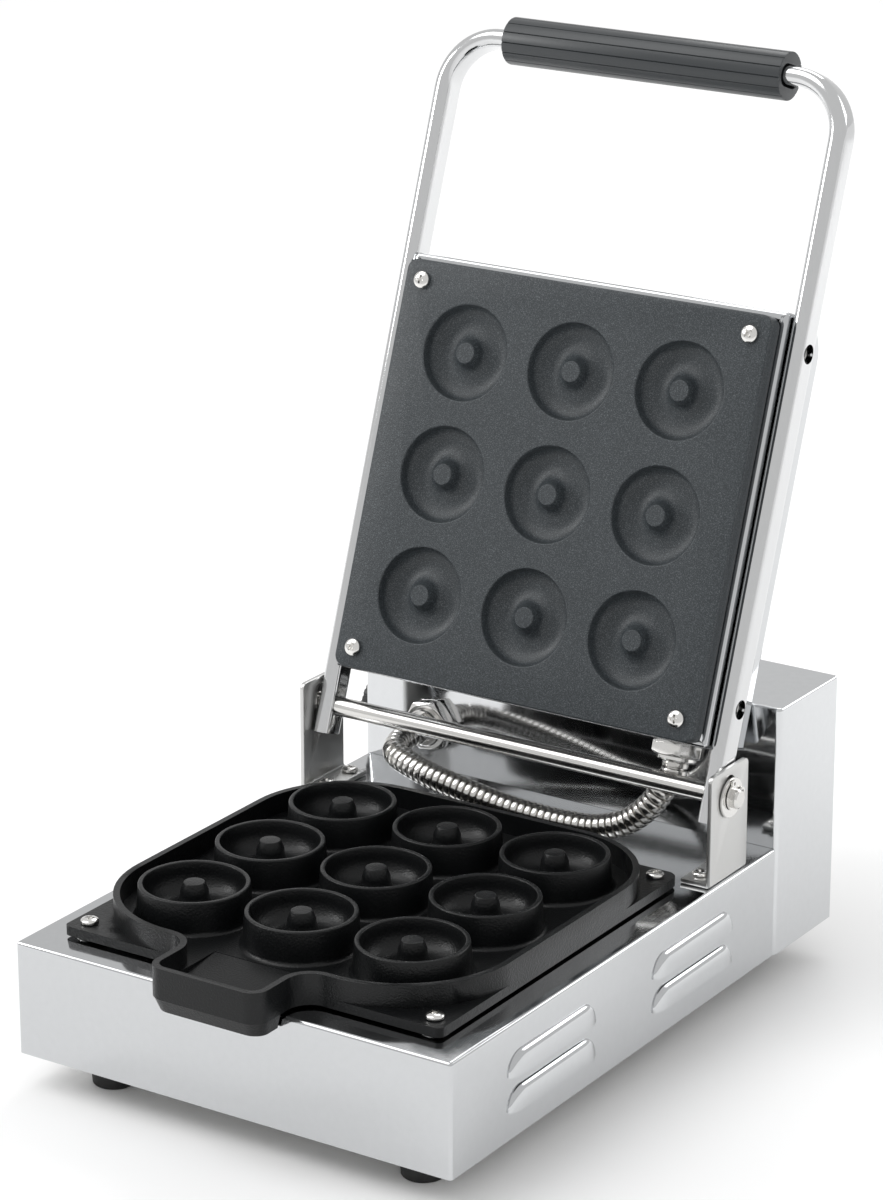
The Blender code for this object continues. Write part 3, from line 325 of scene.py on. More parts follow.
class Finishes:
    """All the finishes of the machine, each built once."""

    CATALOGUE: tuple[Steel | Coating | Moulded, ...] = (
        Steel("polished_steel", (0.585, 0.595, 0.605), 0.07, 0.14, ripple=0.00004),
        Steel("box_steel", (0.66, 0.67, 0.68), 0.06, 0.12, ripple=0.00004),
        Steel("handle_steel", (0.66, 0.665, 0.67), 0.07, 0.13, grain=500.0, stretch=(1, 1, 0.15)),
        Steel("satin_steel", (0.60, 0.60, 0.59), 0.26, 0.40, grain=900.0, stretch=(1, 1, 0.08), grit=0.00002),
        Steel("shaft_steel", (0.70, 0.69, 0.67), 0.14, 0.24, grain=900.0, stretch=(0.06, 1, 1)),
        Steel("nickel", (0.78, 0.77, 0.75), 0.10, 0.20, grain=700.0),
        Steel("conduit_steel", (0.60, 0.59, 0.57), 0.14, 0.24, grain=600.0),
        Steel("element_sheath", (0.16, 0.15, 0.14), 0.38, 0.55, grain=300.0),
        Steel("contact_brass", (0.72, 0.55, 0.26), 0.20, 0.32, grain=500.0),
        Coating("tray_coating", (0.0045, 0.0050, 0.0054), (0.012, 0.013, 0.014), 1000.0, 0.00030, 0.30,
                speck_from=0.66, sheen=0.30),
        Coating("head_coating", (0.029, 0.0345, 0.0385), (0.095, 0.107, 0.115), 1200.0, 0.00018, 0.38,
                speck_from=0.60, sheen=0.36),
        Moulded("foot_rubber", (0.010, 0.010, 0.010), (0.018, 0.018, 0.018), 0.62),
        Moulded("grip_phenolic", (0.030, 0.034, 0.037), (0.040, 0.044, 0.047), 0.34, stretch=(0.1, 1, 1)),
        Moulded("control_black", (0.014, 0.014, 0.015), (0.024, 0.024, 0.025), 0.42, texture=1800.0),
        Moulded("dial_print", (0.72, 0.72, 0.71), (0.80, 0.80, 0.79), 0.45),
        Moulded("lamp_green", (0.02, 0.42, 0.10), (0.04, 0.55, 0.16), 0.14, coat=0.6, passes_light=0.35),
        Moulded("lamp_amber", (0.80, 0.26, 0.02), (0.92, 0.36, 0.05), 0.14, coat=0.6, passes_light=0.35),
        Moulded("porcelain", (0.70, 0.68, 0.62), (0.82, 0.80, 0.74), 0.50),
        Moulded("mineral_fibre", (0.50, 0.48, 0.42), (0.70, 0.68, 0.60), 0.95, texture=400.0, depth=0.0006),
    )

    def __init__(self) -> None:
        """Builds every material in the catalogue."""
        self._made = {spec.name: spec.material() for spec in self.CATALOGUE}

    def __getitem__(self, name: str) -> bpy.types.Material:
        """The material of that name."""
        return self._made[name]


# ------------------------------------------------------------------ modelling
def arc(centre: Point2, radius: float, start: float, end: float, count: int) -> list[Point2]:
    """Points on an arc.

    Args:
        centre: the arc's centre.
        radius: its radius.
        start: first angle in degrees.
        end: last angle in degrees.
        count: number of steps.

    Returns:
        count + 1 points, from start to end.
    """
    points = []
    for index in range(count + 1):
        angle = math.radians(start + (end - start) * index / count)
        points.append((centre[0] + radius * math.cos(angle), centre[1] + radius * math.sin(angle)))
    return points


def oval_arc(centre: Point2, reach: Point2, start: float, end: float, count: int) -> list[Point2]:
    """Points on an arc of an ellipse.

    Args:
        centre: the ellipse's centre.
        reach: its half width and half height.
        start: first angle in degrees.
        end: last angle in degrees.
        count: number of steps.

    Returns:
        count + 1 points, from start to end.
    """
    unit = arc((0.0, 0.0), 1.0, start, end, count)
    return [(centre[0] + reach[0] * x, centre[1] + reach[1] * y) for x, y in unit]


def mirrored(half: Sequence[Point2]) -> list[Point2]:
    """Closes a right-hand outline, front to rear, with its mirror image."""
    return list(half) + [(-x, y) for x, y in reversed(half)]


def corners(half: float) -> list[Point2]:
    """Four points of a square pattern about its centre."""
    return [(-half, -half), (half, -half), (-half, half), (half, half)]


class Workshop:
    """Modelling steps on Blender's own operators."""

    @staticmethod
    def clear() -> None:
        """Leaves edit mode and deselects everything."""
        if bpy.context.object and bpy.context.object.mode != "OBJECT":
            bpy.ops.object.mode_set(mode="OBJECT")
        bpy.ops.object.select_all(action="DESELECT")

    @classmethod
    def pick(cls, item: bpy.types.Object) -> None:
        """Makes one object active and the only one selected.

        Args:
            item: the object.
        """
        cls.clear()
        item.select_set(True)
        bpy.context.view_layer.objects.active = item

    @classmethod
    def settle(cls, item: bpy.types.Object) -> bpy.types.Object:
        """Applies the object's place, so that it sits at the origin.

        Args:
            item: the object.

        Returns:
            The same object.
        """
        cls.pick(item)
        bpy.ops.object.transform_apply(location=True, rotation=True, scale=True)
        return item

    @classmethod
    def move(cls, item: bpy.types.Object, matrix: Matrix) -> bpy.types.Object:
        """Moves a settled object by a matrix and applies it.

        Args:
            item: the object.
            matrix: the move, in world space.

        Returns:
            The same object.
        """
        item.matrix_world = matrix @ item.matrix_world
        bpy.context.view_layer.update()
        return cls.settle(item)

    @classmethod
    def cube(cls, name: str, low: Sequence[float], high: Sequence[float]) -> bpy.types.Object:
        """A block between two corners.

        Args:
            name: the object's name.
            low: lowest corner.
            high: highest corner.

        Returns:
            The block, settled.
        """
        cls.clear()
        low_v, high_v = Vector(low), Vector(high)
        bpy.ops.mesh.primitive_cube_add(size=1.0, location=(low_v + high_v) / 2)
        item = bpy.context.object
        item.name = name
        item.scale = high_v - low_v
        return cls.settle(item)

    @classmethod
    def rod(cls, name: str, radius: float, length: float, centre: Sequence[float], axis: Axis,
            sides: int = 48) -> bpy.types.Object:
        """A cylinder about a centre.

        Args:
            name: the object's name.
            radius: its radius.
            length: its length.
            centre: its centre.
            axis: the direction of its length.
            sides: faces around it.

        Returns:
            The cylinder, settled.
        """
        cls.clear()
        bpy.ops.mesh.primitive_cylinder_add(vertices=sides, radius=radius, depth=length,
                                            location=tuple(centre), rotation=axis.value)
        item = bpy.context.object
        item.name = name
        return cls.settle(item)

    @classmethod
    def point(cls, name: str, place: Sequence[float]) -> bpy.types.Object:
        """A mesh of one selected vertex, left in edit mode, ready to be extruded.

        Args:
            name: the object's name.
            place: where the vertex goes.

        Returns:
            The object, in edit mode.
        """
        cls.clear()
        bpy.ops.mesh.primitive_plane_add(size=MM, location=(0, 0, 0))
        item = bpy.context.object
        item.name = name
        bpy.ops.object.mode_set(mode="EDIT")
        bpy.ops.mesh.select_mode(type="VERT")
        bpy.ops.mesh.select_all(action="SELECT")
        bpy.ops.mesh.merge(type="CENTER")
        bpy.ops.transform.translate(value=tuple(place))
        return item

    @staticmethod
    def draw(points: Sequence[Sequence[float]]) -> None:
        """Extrudes the selected vertex through the points, the first being where it is.

        Args:
            points: the line's points.
        """
        for before, after in zip(points, points[1:]):
            step = tuple(b - a for a, b in zip(before, after))
            bpy.ops.mesh.extrude_region_move(TRANSFORM_OT_translate={"value": step})

    @classmethod
    def turned(cls, name: str, profile: Sequence[Point2], centre: Sequence[float] = (0, 0, 0),
               axis: Axis = Axis.Z_PLUS, steps: int = 64) -> bpy.types.Object:
        """Turns a profile of radius and height about its axis.

        Args:
            name: the object's name.
            profile: points of radius and height; a loop repeats its first point.
            centre: where the profile's zero goes.
            axis: the direction its height goes.
            steps: steps around.

        Returns:
            The turned solid, settled.
        """
        line = [(radius, 0.0, height) for radius, height in profile]
        item = cls.point(name, line[0])
        cls.draw(line)
        bpy.ops.mesh.select_all(action="SELECT")
        bpy.ops.mesh.remove_doubles(threshold=1e-7)
        bpy.ops.mesh.select_all(action="SELECT")
        bpy.ops.mesh.spin(steps=steps, angle=2 * math.pi, center=(0, 0, 0), axis=(0, 0, 1))
        bpy.ops.mesh.select_all(action="SELECT")
        bpy.ops.mesh.remove_doubles(threshold=2e-6)
        bpy.ops.mesh.select_all(action="SELECT")
        bpy.ops.mesh.normals_make_consistent(inside=False)
        bpy.ops.object.mode_set(mode="OBJECT")
        return cls.move(item, Matrix.Translation(Vector(centre)) @ axis.matrix())

    @classmethod
    def traced(cls, name: str, outline: Sequence[Point2], low: float, high: float,
               matrix: Matrix | None = None) -> bpy.types.Object:
        """Draws a closed outline, fills it and raises it into a solid.

        Args:
            name: the object's name.
            outline: points of X and Y, without repeating the first.
            low: height of the lower face.
            high: height of the upper face.
            matrix: where it goes, if not at the origin.

        Returns:
            The solid, settled.
        """
        line = [(x, y, low) for x, y in outline]
        line.append(line[0])
        item = cls.point(name, line[0])
        cls.draw(line)
        bpy.ops.mesh.select_all(action="SELECT")
        bpy.ops.mesh.remove_doubles(threshold=1e-7)
        bpy.ops.mesh.select_all(action="SELECT")
        bpy.ops.mesh.edge_face_add()
        bpy.ops.mesh.extrude_region_move(TRANSFORM_OT_translate={"value": (0, 0, high - low)})
        bpy.ops.mesh.select_all(action="SELECT")
        bpy.ops.mesh.normals_make_consistent(inside=False)
        bpy.ops.object.mode_set(mode="OBJECT")
        if matrix:
            cls.move(item, matrix)
        return item

    @classmethod
    def select_edges(cls, item: bpy.types.Object, test: Callable[[Vector, Vector], bool]) -> int:
        """Selects the edges whose midpoint and direction pass a test, and enters edit mode.

        Args:
            item: the object.
            test: takes an edge's midpoint and unit direction.

        Returns:
            How many edges were selected.
        """
        cls.pick(item)
        bpy.ops.object.mode_set(mode="EDIT")
        bpy.ops.mesh.select_mode(type="EDGE")
        bpy.ops.mesh.select_all(action="DESELECT")
        mesh_bm = bmesh.from_edit_mesh(item.data)
        count = 0
        for edge in mesh_bm.edges:
            start, end = (vertex.co for vertex in edge.verts)
            if test((start + end) / 2, (end - start).normalized()):
                edge.select_set(True)
                count += 1
        bmesh.update_edit_mesh(item.data)
        return count

    @classmethod
    def select_faces(cls, item: bpy.types.Object, test: Callable[[Vector, Vector], bool]) -> int:
        """Selects the faces whose centre and normal pass a test, and enters edit mode.

        Args:
            item: the object.
            test: takes a face's centre and normal.

        Returns:
            How many faces were selected.
        """
        cls.pick(item)
        bpy.ops.object.mode_set(mode="EDIT")
        bpy.ops.mesh.select_mode(type="FACE")
        bpy.ops.mesh.select_all(action="DESELECT")
        mesh_bm = bmesh.from_edit_mesh(item.data)
        count = 0
        for face in mesh_bm.faces:
            if test(face.calc_center_median(), face.normal):
                face.select_set(True)
                count += 1
        bmesh.update_edit_mesh(item.data)
        return count

    @classmethod
    def round_edges(cls, item: bpy.types.Object, width: float, segments: int,
                    test: Callable[[Vector, Vector], bool]) -> bpy.types.Object:
        """Rounds the edges that pass a test.

        Args:
            item: the object.
            width: the rounding's width.
            segments: steps across it.
            test: takes an edge's midpoint and unit direction.

        Returns:
            The same object.
        """
        if cls.select_edges(item, test):
            bpy.ops.mesh.bevel(offset=width, segments=segments, affect="EDGES", clamp_overlap=True)
        bpy.ops.object.mode_set(mode="OBJECT")
        return item

    @classmethod
    def drop_faces(cls, item: bpy.types.Object,
                   test: Callable[[Vector, Vector], bool]) -> bpy.types.Object:
        """Deletes the faces whose centre and normal pass a test.

        Args:
            item: the object.
            test: takes a face's centre and normal.

        Returns:
            The same object.
        """
        if cls.select_faces(item, test):
            bpy.ops.mesh.delete(type="FACE")
        bpy.ops.object.mode_set(mode="OBJECT")
        return item

    @classmethod
    def keep_side(cls, item: bpy.types.Object, place: Point3, normal: Point3,
                  fill: bool = False) -> bpy.types.Object:
        """Bisects an object and keeps the side that the normal points to.

        Args:
            item: the object.
            place: a point on the cutting plane.
            normal: the plane's normal.
            fill: whether the cut is closed with a face.

        Returns:
            The same object.
        """
        cls.pick(item)
        bpy.ops.object.mode_set(mode="EDIT")
        bpy.ops.mesh.select_all(action="SELECT")
        bpy.ops.mesh.bisect(plane_co=place, plane_no=normal, use_fill=fill, clear_inner=True)
        bpy.ops.object.mode_set(mode="OBJECT")
        return item

    @classmethod
    def apply(cls, item: bpy.types.Object, kind: str, **values: object) -> bpy.types.Object:
        """Adds a modifier with these settings and applies it.

        Args:
            item: the object.
            kind: the modifier's type.
            values: its settings.

        Returns:
            The same object.
        """
        cls.pick(item)
        bpy.ops.object.modifier_add(type=kind)
        modifier = item.modifiers[-1]
        for key, value in values.items():
            setattr(modifier, key, value)
        bpy.ops.object.modifier_apply(modifier=modifier.name)
        return item

    @classmethod
    def combine(cls, item: bpy.types.Object, other: bpy.types.Object, operation: str,
                solver: str = "EXACT") -> bpy.types.Object:
        """Applies a Boolean with another object, which is used up.

        Args:
            item: the object.
            other: the object that is used up.
            operation: UNION, DIFFERENCE or INTERSECT.
            solver: the Boolean's solver.

        Returns:
            The same object.
        """
        cls.apply(item, "BOOLEAN", object=other, operation=operation, solver=solver)
        bpy.data.objects.remove(other, do_unlink=True)
        return item

    @classmethod
    def cut(cls, item: bpy.types.Object, *tools: bpy.types.Object) -> bpy.types.Object:
        """Takes each tool's shape out of an object.

        Args:
            item: the object.
            tools: the shapes to take out, which are used up.

        Returns:
            The same object.
        """
        for tool in tools:
            cls.combine(item, tool, "DIFFERENCE")
        return item

    @classmethod
    def weld(cls, item: bpy.types.Object, *others: bpy.types.Object) -> bpy.types.Object:
        """Unites other solids with an object.

        Args:
            item: the object.
            others: the solids to add, which are used up.

        Returns:
            The same object.
        """
        for other in others:
            cls.combine(item, other, "UNION")
        return item

    @classmethod
    def join(cls, item: bpy.types.Object, others: Iterable[bpy.types.Object]) -> bpy.types.Object:
        """Joins objects into one mesh without a Boolean.

        Args:
            item: the object.
            others: the objects that it takes in.

        Returns:
            The same object.
        """
        cls.pick(item)
        for other in others:
            other.select_set(True)
        bpy.ops.object.join()
        return item

    @classmethod
    def sheet(cls, item: bpy.types.Object, thickness: float) -> bpy.types.Object:
        """Gives an open shell its wall, inwards.

        Args:
            item: the object.
            thickness: the wall's thickness.

        Returns:
            The same object.
        """
        return cls.apply(item, "SOLIDIFY", thickness=thickness, offset=-1.0, use_even_offset=True)

    @classmethod
    def soften(cls, item: bpy.types.Object, width: float, segments: int = 2,
               angle: float = 40.0) -> bpy.types.Object:
        """Rounds all the edges sharper than an angle in degrees.

        Args:
            item: the object.
            width: the rounding's width.
            segments: steps across it.
            angle: the least angle, in degrees.

        Returns:
            The same object.
        """
        return cls.apply(item, "BEVEL", width=width, segments=segments, limit_method="ANGLE",
                         angle_limit=math.radians(angle), harden_normals=False,
                         use_clamp_overlap=True)

    @classmethod
    def copy(cls, item: bpy.types.Object, name: str, matrix: Matrix) -> bpy.types.Object:
        """A copy with its own mesh, moved by a matrix.

        Args:
            item: the object.
            name: the copy's name.
            matrix: the copy's move.

        Returns:
            The copy, settled.
        """
        cls.pick(item)
        bpy.ops.object.duplicate(linked=False)
        made = bpy.context.object
        made.name = name
        return cls.move(made, matrix)

    @classmethod
    def smooth(cls, item: bpy.types.Object, angle: float = 32.0) -> bpy.types.Object:
        """Shades smoothly across edges flatter than an angle in degrees.

        Args:
            item: the object.
            angle: the angle, in degrees.

        Returns:
            The same object.
        """
        cls.pick(item)
        bpy.ops.object.shade_smooth_by_angle(angle=math.radians(angle))
        return item


@dataclass
class Layout:
    """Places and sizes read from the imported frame."""

    mid_x: float = 0.0
    front_y: float = 0.0
    rear_y: float = 0.0
    floor_z: float = 0.0
    deck_z: float = 0.0
    half_w: float = 0.0
    hinge: Vector = field(default_factory=Vector)
    lean: float = 0.0
    ring_top: float = 0.0
    tray_y: float = 0.0
    tray_half: float = 0.0
    pitch: float = 65.8 * MM

    @classmethod
    def read(cls, frame: dict) -> Layout:
        """Reads the frame's boxes and the head's joint.


        Returns:
            The filled layout.
        """
        plate_low, plate_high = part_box("bottom_plate")
        case_low, case_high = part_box("base_casing")
        box_low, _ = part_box("control_box")
        tray_low, tray_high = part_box("lower_tray")
        heater_low, heater_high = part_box("lower_heater_plate")
        hinge = next(j for j in frame["joints"] if j["name"] == "head_hinge")
        return cls(
            mid_x=(plate_low.x + plate_high.x) / 2,
            front_y=case_low.y,
            rear_y=box_low.y - 0.3 * MM,
            floor_z=case_low.z,
            deck_z=case_high.z,
            half_w=(case_high.x - case_low.x) / 2 - 4.0 * MM,
            hinge=Vector(hinge["pos_m"]),
            lean=math.radians(hinge["range_deg"][1] - 90.0),
            ring_top=tray_high.z,
            tray_y=(heater_low.y + heater_high.y) / 2,
            tray_half=(tray_high.x - tray_low.x) / 2,
        )

    def head(self) -> Matrix:
        """Matrix from the head's own frame, hinge at zero and plate upright, to its open place."""
        return Matrix.Translation(self.hinge) @ Matrix.Rotation(-self.lean, 4, "X")

    def on_deck(self, x: float, y: float, z: float) -> Vector:
        """A point given from the casing's middle, its front edge and the deck."""
        return Vector((self.mid_x + x, self.front_y + y, self.deck_z + z))


@dataclass
class SubAssembly:
    """What every sub-assembly shares: the layout, the finishes and the way a piece is handed over."""

    layout: Layout
    finishes: Finishes
    made: list[str] = field(default_factory=list)

    def hand_over(self, item: bpy.types.Object, finish: str, body: str, slot: str,
                  nodes: Sequence[str] = (), angle: float | None = 32.0) -> bpy.types.Object:
        """Dresses a finished piece and ties it to its body.

        Args:
            item: the piece, at the origin.
            finish: the finish's name.
            body: the body it rides on.
            slot: the record's material slot; not used.
            nodes: the frame's nodes that it stands for.
            angle: the smoothing angle in degrees, or None to leave the shading.

        Returns:
            The same piece.
        """
        if angle is not None:
            Workshop.smooth(item, angle)
        item.data.materials.clear()
        item.data.materials.append(self.finishes[finish])
        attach(item, body)
        if nodes:
            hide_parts(*nodes)
        self.made.append(item.name)
        LOG.info("%s on %s", item.name, body)
        return item

    def dress(self, finish: str, *nodes: str) -> None:
        """Gives frame nodes that stay in view their finish.

        Args:
            finish: the finish's name.
            nodes: the nodes' names.
        """
        for name in nodes:
            mesh = bpy.data.objects[name].data
            mesh.materials.clear()
            mesh.materials.append(self.finishes[finish])
            self.made.append(name)


# ------------------------------------------------------------------ fasteners
@dataclass
class PanScrew:
    """A pan-head screw with a cross recess, modelled once and copied."""

    head_radius: float = 4.7 * MM
    head_height: float = 2.9 * MM
    shank_radius: float = 1.9 * MM
    length: float = 9.0 * MM
    template: bpy.types.Object | None = None

    def build(self) -> bpy.types.Object:
        """Models the screw about its seat, head along +Z.

        Returns:
            The template, which is removed once all the copies are placed.
        """
        radius, height = self.head_radius, self.head_height
        side = height * 0.42
        dome = oval_arc((0.0, side), (radius, height - side), 90, 0, 10)
        profile = dome + [(radius, 0.25 * MM), (radius - 0.25 * MM, 0.0), (self.shank_radius, 0.0),
                          (self.shank_radius, -self.length), (0.0, -self.length)]
        screw = Workshop.turned("screw_template", profile, steps=40)
        for turn in (0.0, math.pi / 2):
            blade = Workshop.cube("recess", (-radius * 0.50, -0.55 * MM, height * 0.30),
                                  (radius * 0.50, 0.55 * MM, height * 1.4))
            Workshop.round_edges(blade, radius * 0.22, 1,
                                 lambda mid, run: abs(run.y) > 0.9 and mid.z < self.head_height * 0.5)
            Workshop.cut(screw, Workshop.move(blade, Matrix.Rotation(turn, 4, "Z")))
        well = Workshop.turned("recess_well", [(0.0, height * 1.5), (1.15 * MM, height * 1.5),
                                               (0.75 * MM, height * 0.22), (0.0, height * 0.1)], steps=24)
        Workshop.cut(screw, well)
        self.template = screw
        return screw

    def place(self, name: str, matrix: Matrix, turn: float) -> bpy.types.Object:
        """Copies the screw to a place, its recess turned by an angle in radians."""
        return Workshop.copy(self.template, name, matrix @ Matrix.Rotation(turn, 4, "Z"))

    def discard(self) -> None:
        """Removes the template."""
        bpy.data.objects.remove(self.template, do_unlink=True)


# ------------------------------------------------------------------ base casing
@dataclass
class BaseCasing(SubAssembly):
    """Folded stainless casing with pressed louvers, its bottom plate and feet."""

    sheet: float = 1.5 * MM
    fold: float = 2.0 * MM
    louver_length: float = 80 * MM
    louver_height: float = 12 * MM
    louver_reach: float = 3.7 * MM
    columns: tuple[float, ...] = (50 * MM, 187 * MM)
    rows: tuple[float, ...] = (-27.5 * MM, -46 * MM)
    slit_inset: float = 3 * MM
    slit_span: Point2 = (0.4 * MM, 3.6 * MM)
    hood_sheet: float = 0.7 * MM
    window_half: float = 84 * MM

    def build(self) -> None:
        """Builds the casing, louvers and feet, and gives the bottom plate its finish."""
        lay = self.layout
        low = Vector((lay.mid_x - lay.half_w, lay.front_y, lay.floor_z))
        high = Vector((lay.mid_x + lay.half_w, lay.rear_y, lay.deck_z))
        casing = Workshop.cube("casing_sheet", low, high)

        def fold_line(mid: Vector, run: Vector) -> bool:
            """Whether an edge is one of the sheet's folds."""
            lid = mid.z > high.z - EDGE and mid.y < high.y - EDGE
            return lid or (abs(run.z) > 0.9 and mid.y < low.y + EDGE)

        Workshop.round_edges(casing, self.fold, 5, fold_line)
        Workshop.drop_faces(casing, lambda mid, normal: normal.z < -0.99 or normal.y > 0.99)
        Workshop.sheet(casing, self.sheet)
        window = self.window_half
        Workshop.cut(casing, Workshop.cube(
            "window", (lay.mid_x - window, lay.tray_y - window, high.z - 4 * MM),
            (lay.mid_x + window, lay.tray_y + window, high.z + MM)))
        hoods = []
        for side in (-1, 1):
            for column in self.columns:
                for row in self.rows:
                    hoods.append(self._louver(casing, side, column, row))
        Workshop.join(casing, hoods)
        self.hand_over(casing, "polished_steel", "base", "stainless", ["base_casing"], angle=28.0)
        self.dress("satin_steel", "bottom_plate")
        self._feet()

    def _louver(self, casing: bpy.types.Object, side: int, column: float, row: float) -> bpy.types.Object:
        """One pressed hood, open downwards, over a slit in the casing's side.

        Args:
            casing: the casing, which gets the slit.
            side: 1 for right, -1 for left.
            column: the louver's front end, from the casing's front.
            row: the louver's lip, from the deck.

        Returns:
            The hood.
        """
        lay = self.layout
        face = lay.mid_x + side * lay.half_w
        start = lay.front_y + column
        lip = lay.deck_z + row
        tall = self.louver_height
        inset, (slit_low, slit_high) = self.slit_inset, self.slit_span
        slit = Workshop.cube("slit", (face - inset, start + inset, lip + slit_low),
                             (face + inset, start + self.louver_length - inset, lip + slit_high))
        Workshop.cut(casing, slit)
        hood = Workshop.cube("hood", (face - tall, start, lip - tall),
                             (face + tall, start + self.louver_length, lip + tall))
        Workshop.round_edges(hood, tall * 0.985, 9, lambda mid, run: True)
        Workshop.keep_side(hood, (face, 0, lip), (0, 0, 1))
        Workshop.keep_side(hood, (face, 0, lip), (side, 0, 0))
        squeeze = Matrix.Diagonal((self.louver_reach / tall, 1.0, 1.0, 1.0))
        about = Matrix.Translation(Vector((face, 0, 0)))
        Workshop.move(hood, about @ squeeze @ about.inverted())
        return Workshop.sheet(hood, self.hood_sheet)

    def _feet(self) -> None:
        """Four turned rubber feet with a seated screw hole."""
        profile = [(0.0, 2.6 * MM), (3.2 * MM, 2.6 * MM), (3.4 * MM, 0.3 * MM), (9.2 * MM, 0.0)]
        profile += arc((10.0 * MM, 1.2 * MM), 1.2 * MM, -90, -8, 5)
        for index in range(4):
            low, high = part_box(f"foot_{index + 1}")
            top = high.z - low.z
            outer = (high.x - low.x) / 2
            shape = profile + [(outer - 0.3 * MM, top * 0.86), (outer, top * 0.93),
                               (outer - 0.7 * MM, top), (0.0, top)]
            foot = Workshop.turned(f"rubber_foot_{index + 1}", shape,
                                   ((low.x + high.x) / 2, (low.y + high.y) / 2, low.z), steps=48)
            self.hand_over(foot, "foot_rubber", "base", "rubber", [f"foot_{index + 1}"])


# ------------------------------------------------------------------ lower tray
@dataclass
class LowerTray(SubAssembly):
    """Cast tray with its gutter, spout and ring moulds, on a heater plate and standoffs."""

    flange: float = 5.0 * MM
    wall: float = 3.4 * MM
    wall_drop: float = 6.4 * MM
    front_corner: float = 62 * MM
    rear_corner: float = 57 * MM
    ring_outer: float = 28.5 * MM
    cavity: float = 25.5 * MM
    pin: float = 5.5 * MM
    pin_base: float = 7.2 * MM
    depth: float = 15.5 * MM
    spout_half: float = 33.5 * MM
    spout_front: float = 150.3 * MM
    spout_drop: float = 6.0 * MM

    def __post_init__(self) -> None:
        """Works out the tray's levels and its centre."""
        lay = self.layout
        _, spacer_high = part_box("standoff_1")
        self.under = spacer_high.z + 0.3 * MM
        self.top = self.under + self.flange
        self.floor = self.top + 0.4 * MM
        self.wall_top = lay.ring_top - self.wall_drop
        self.centre = Vector((lay.mid_x, lay.tray_y, 0.0))

    def build(self) -> None:
        """Builds the tray, the heater plate and what stands under them."""
        lay = self.layout
        at = Matrix.Translation(self.centre)
        flange = Workshop.traced("tray_casting", self._slab(lay.tray_half, 3.5 * MM, 7 * MM), self.under,
                                 self.top, at)
        wall = Workshop.traced("wall", self._gutter(0.0, 9 * MM, 18), self.under + 0.2 * MM,
                               self.wall_top, at)
        Workshop.weld(flange, wall, self._spout())
        pocket = Workshop.traced("pocket", self._gutter(self.wall, 6 * MM, 18), self.floor,
                                 self.wall_top + 6 * MM, at)
        Workshop.cut(flange, pocket, self._chute())
        Workshop.soften(flange, 1.0 * MM, 3, 36.0)
        rings = []
        for row in (-1, 0, 1):
            for column in (-1, 0, 1):
                spot = self.centre + Vector((column * lay.pitch, row * lay.pitch, 0.0))
                rings.append(Workshop.turned(f"ring_mould_{row + 1}{column + 1}", self._ring(), spot,
                                             steps=96))
        Workshop.join(flange, rings)
        self.hand_over(flange, "tray_coating", "base", "cast_tray", ["lower_tray"], angle=38.0)
        self._heater(at)

    @staticmethod
    def _slab(half: float, front: float, rear: float) -> list[Point2]:
        """Plan of a square plate with rounded corners.

        Args:
            half: half its width.
            front: radius of the front corners.
            rear: radius of the rear corners.

        Returns:
            The outline about its centre.
        """
        points = arc((half - front, -half + front), front, -90, 0, 6)
        points += arc((half - rear, half - rear), rear, 0, 90, 8)
        return mirrored(points)

    def _gutter(self, inset: float, corner: float, steps: int) -> list[Point2]:
        """Plan of the gutter wall: round corners about the corner rings, and the spout.

        Args:
            inset: distance inside the wall's outer face.
            corner: radius of the spout's front corners.
            steps: steps in each large corner.

        Returns:
            The outline about the tray's centre.
        """
        lay = self.layout
        half = lay.tray_half - inset
        spout = self.spout_half - inset
        front = -self.spout_front + inset
        sweep = 13 * MM + inset
        points = arc((spout - corner, front + corner), corner, -90, 0, 8)
        points += arc((spout + sweep, -half - sweep), sweep, 180, 90, 12)
        near, far = lay.tray_half - self.front_corner, lay.tray_half - self.rear_corner
        points += arc((near, -near), self.front_corner - inset, -90, 0, steps)
        points += arc((far, far), self.rear_corner - inset, 0, 90, steps)
        return mirrored(points)

    def _spout(self) -> bpy.types.Object:
        """Deep front of the spout, drawn in below where it overhangs the casing.

        Returns:
            The block, in its place under the tray.
        """
        lay = self.layout
        back = lay.front_y - lay.tray_y - 1.5 * MM
        corner = 9 * MM
        outline = arc((self.spout_half - corner, -self.spout_front + corner), corner, -90, 0, 8)
        outline.append((self.spout_half, back))
        bottom = lay.deck_z - self.spout_drop
        block = Workshop.traced("spout", mirrored(outline), bottom, self.under + 1 * MM,
                                Matrix.Translation(self.centre))
        Workshop.select_faces(block, lambda mid, normal: normal.z < -0.99)
        pivot = self.centre + Vector((0, back, bottom))
        bpy.ops.transform.resize(value=(0.94, 0.80, 1.0), center_override=tuple(pivot))
        bpy.ops.object.mode_set(mode="OBJECT")
        return block

    def _chute(self) -> bpy.types.Object:
        """Wedge that lowers the gutter's floor towards the spout.

        Returns:
            The wedge to take out.
        """
        lay = self.layout
        half = self.spout_half - self.wall - 0.5 * MM
        near = -self.spout_front + self.wall + 0.6 * MM
        far = -lay.pitch - self.ring_outer - 4 * MM
        edge = lay.front_y - lay.tray_y - MM
        profile = [(near, self.floor - 9 * MM), (near, self.floor + 2 * MM), (far, self.floor + 2 * MM),
                   (far, self.floor - 0.2 * MM), (edge, self.floor - 3.2 * MM)]
        lay_down = Matrix(((0, 0, 1, 0), (1, 0, 0, 0), (0, 1, 0, 0), (0, 0, 0, 1)))
        return Workshop.traced("chute", profile, -half, half, Matrix.Translation(self.centre) @ lay_down)

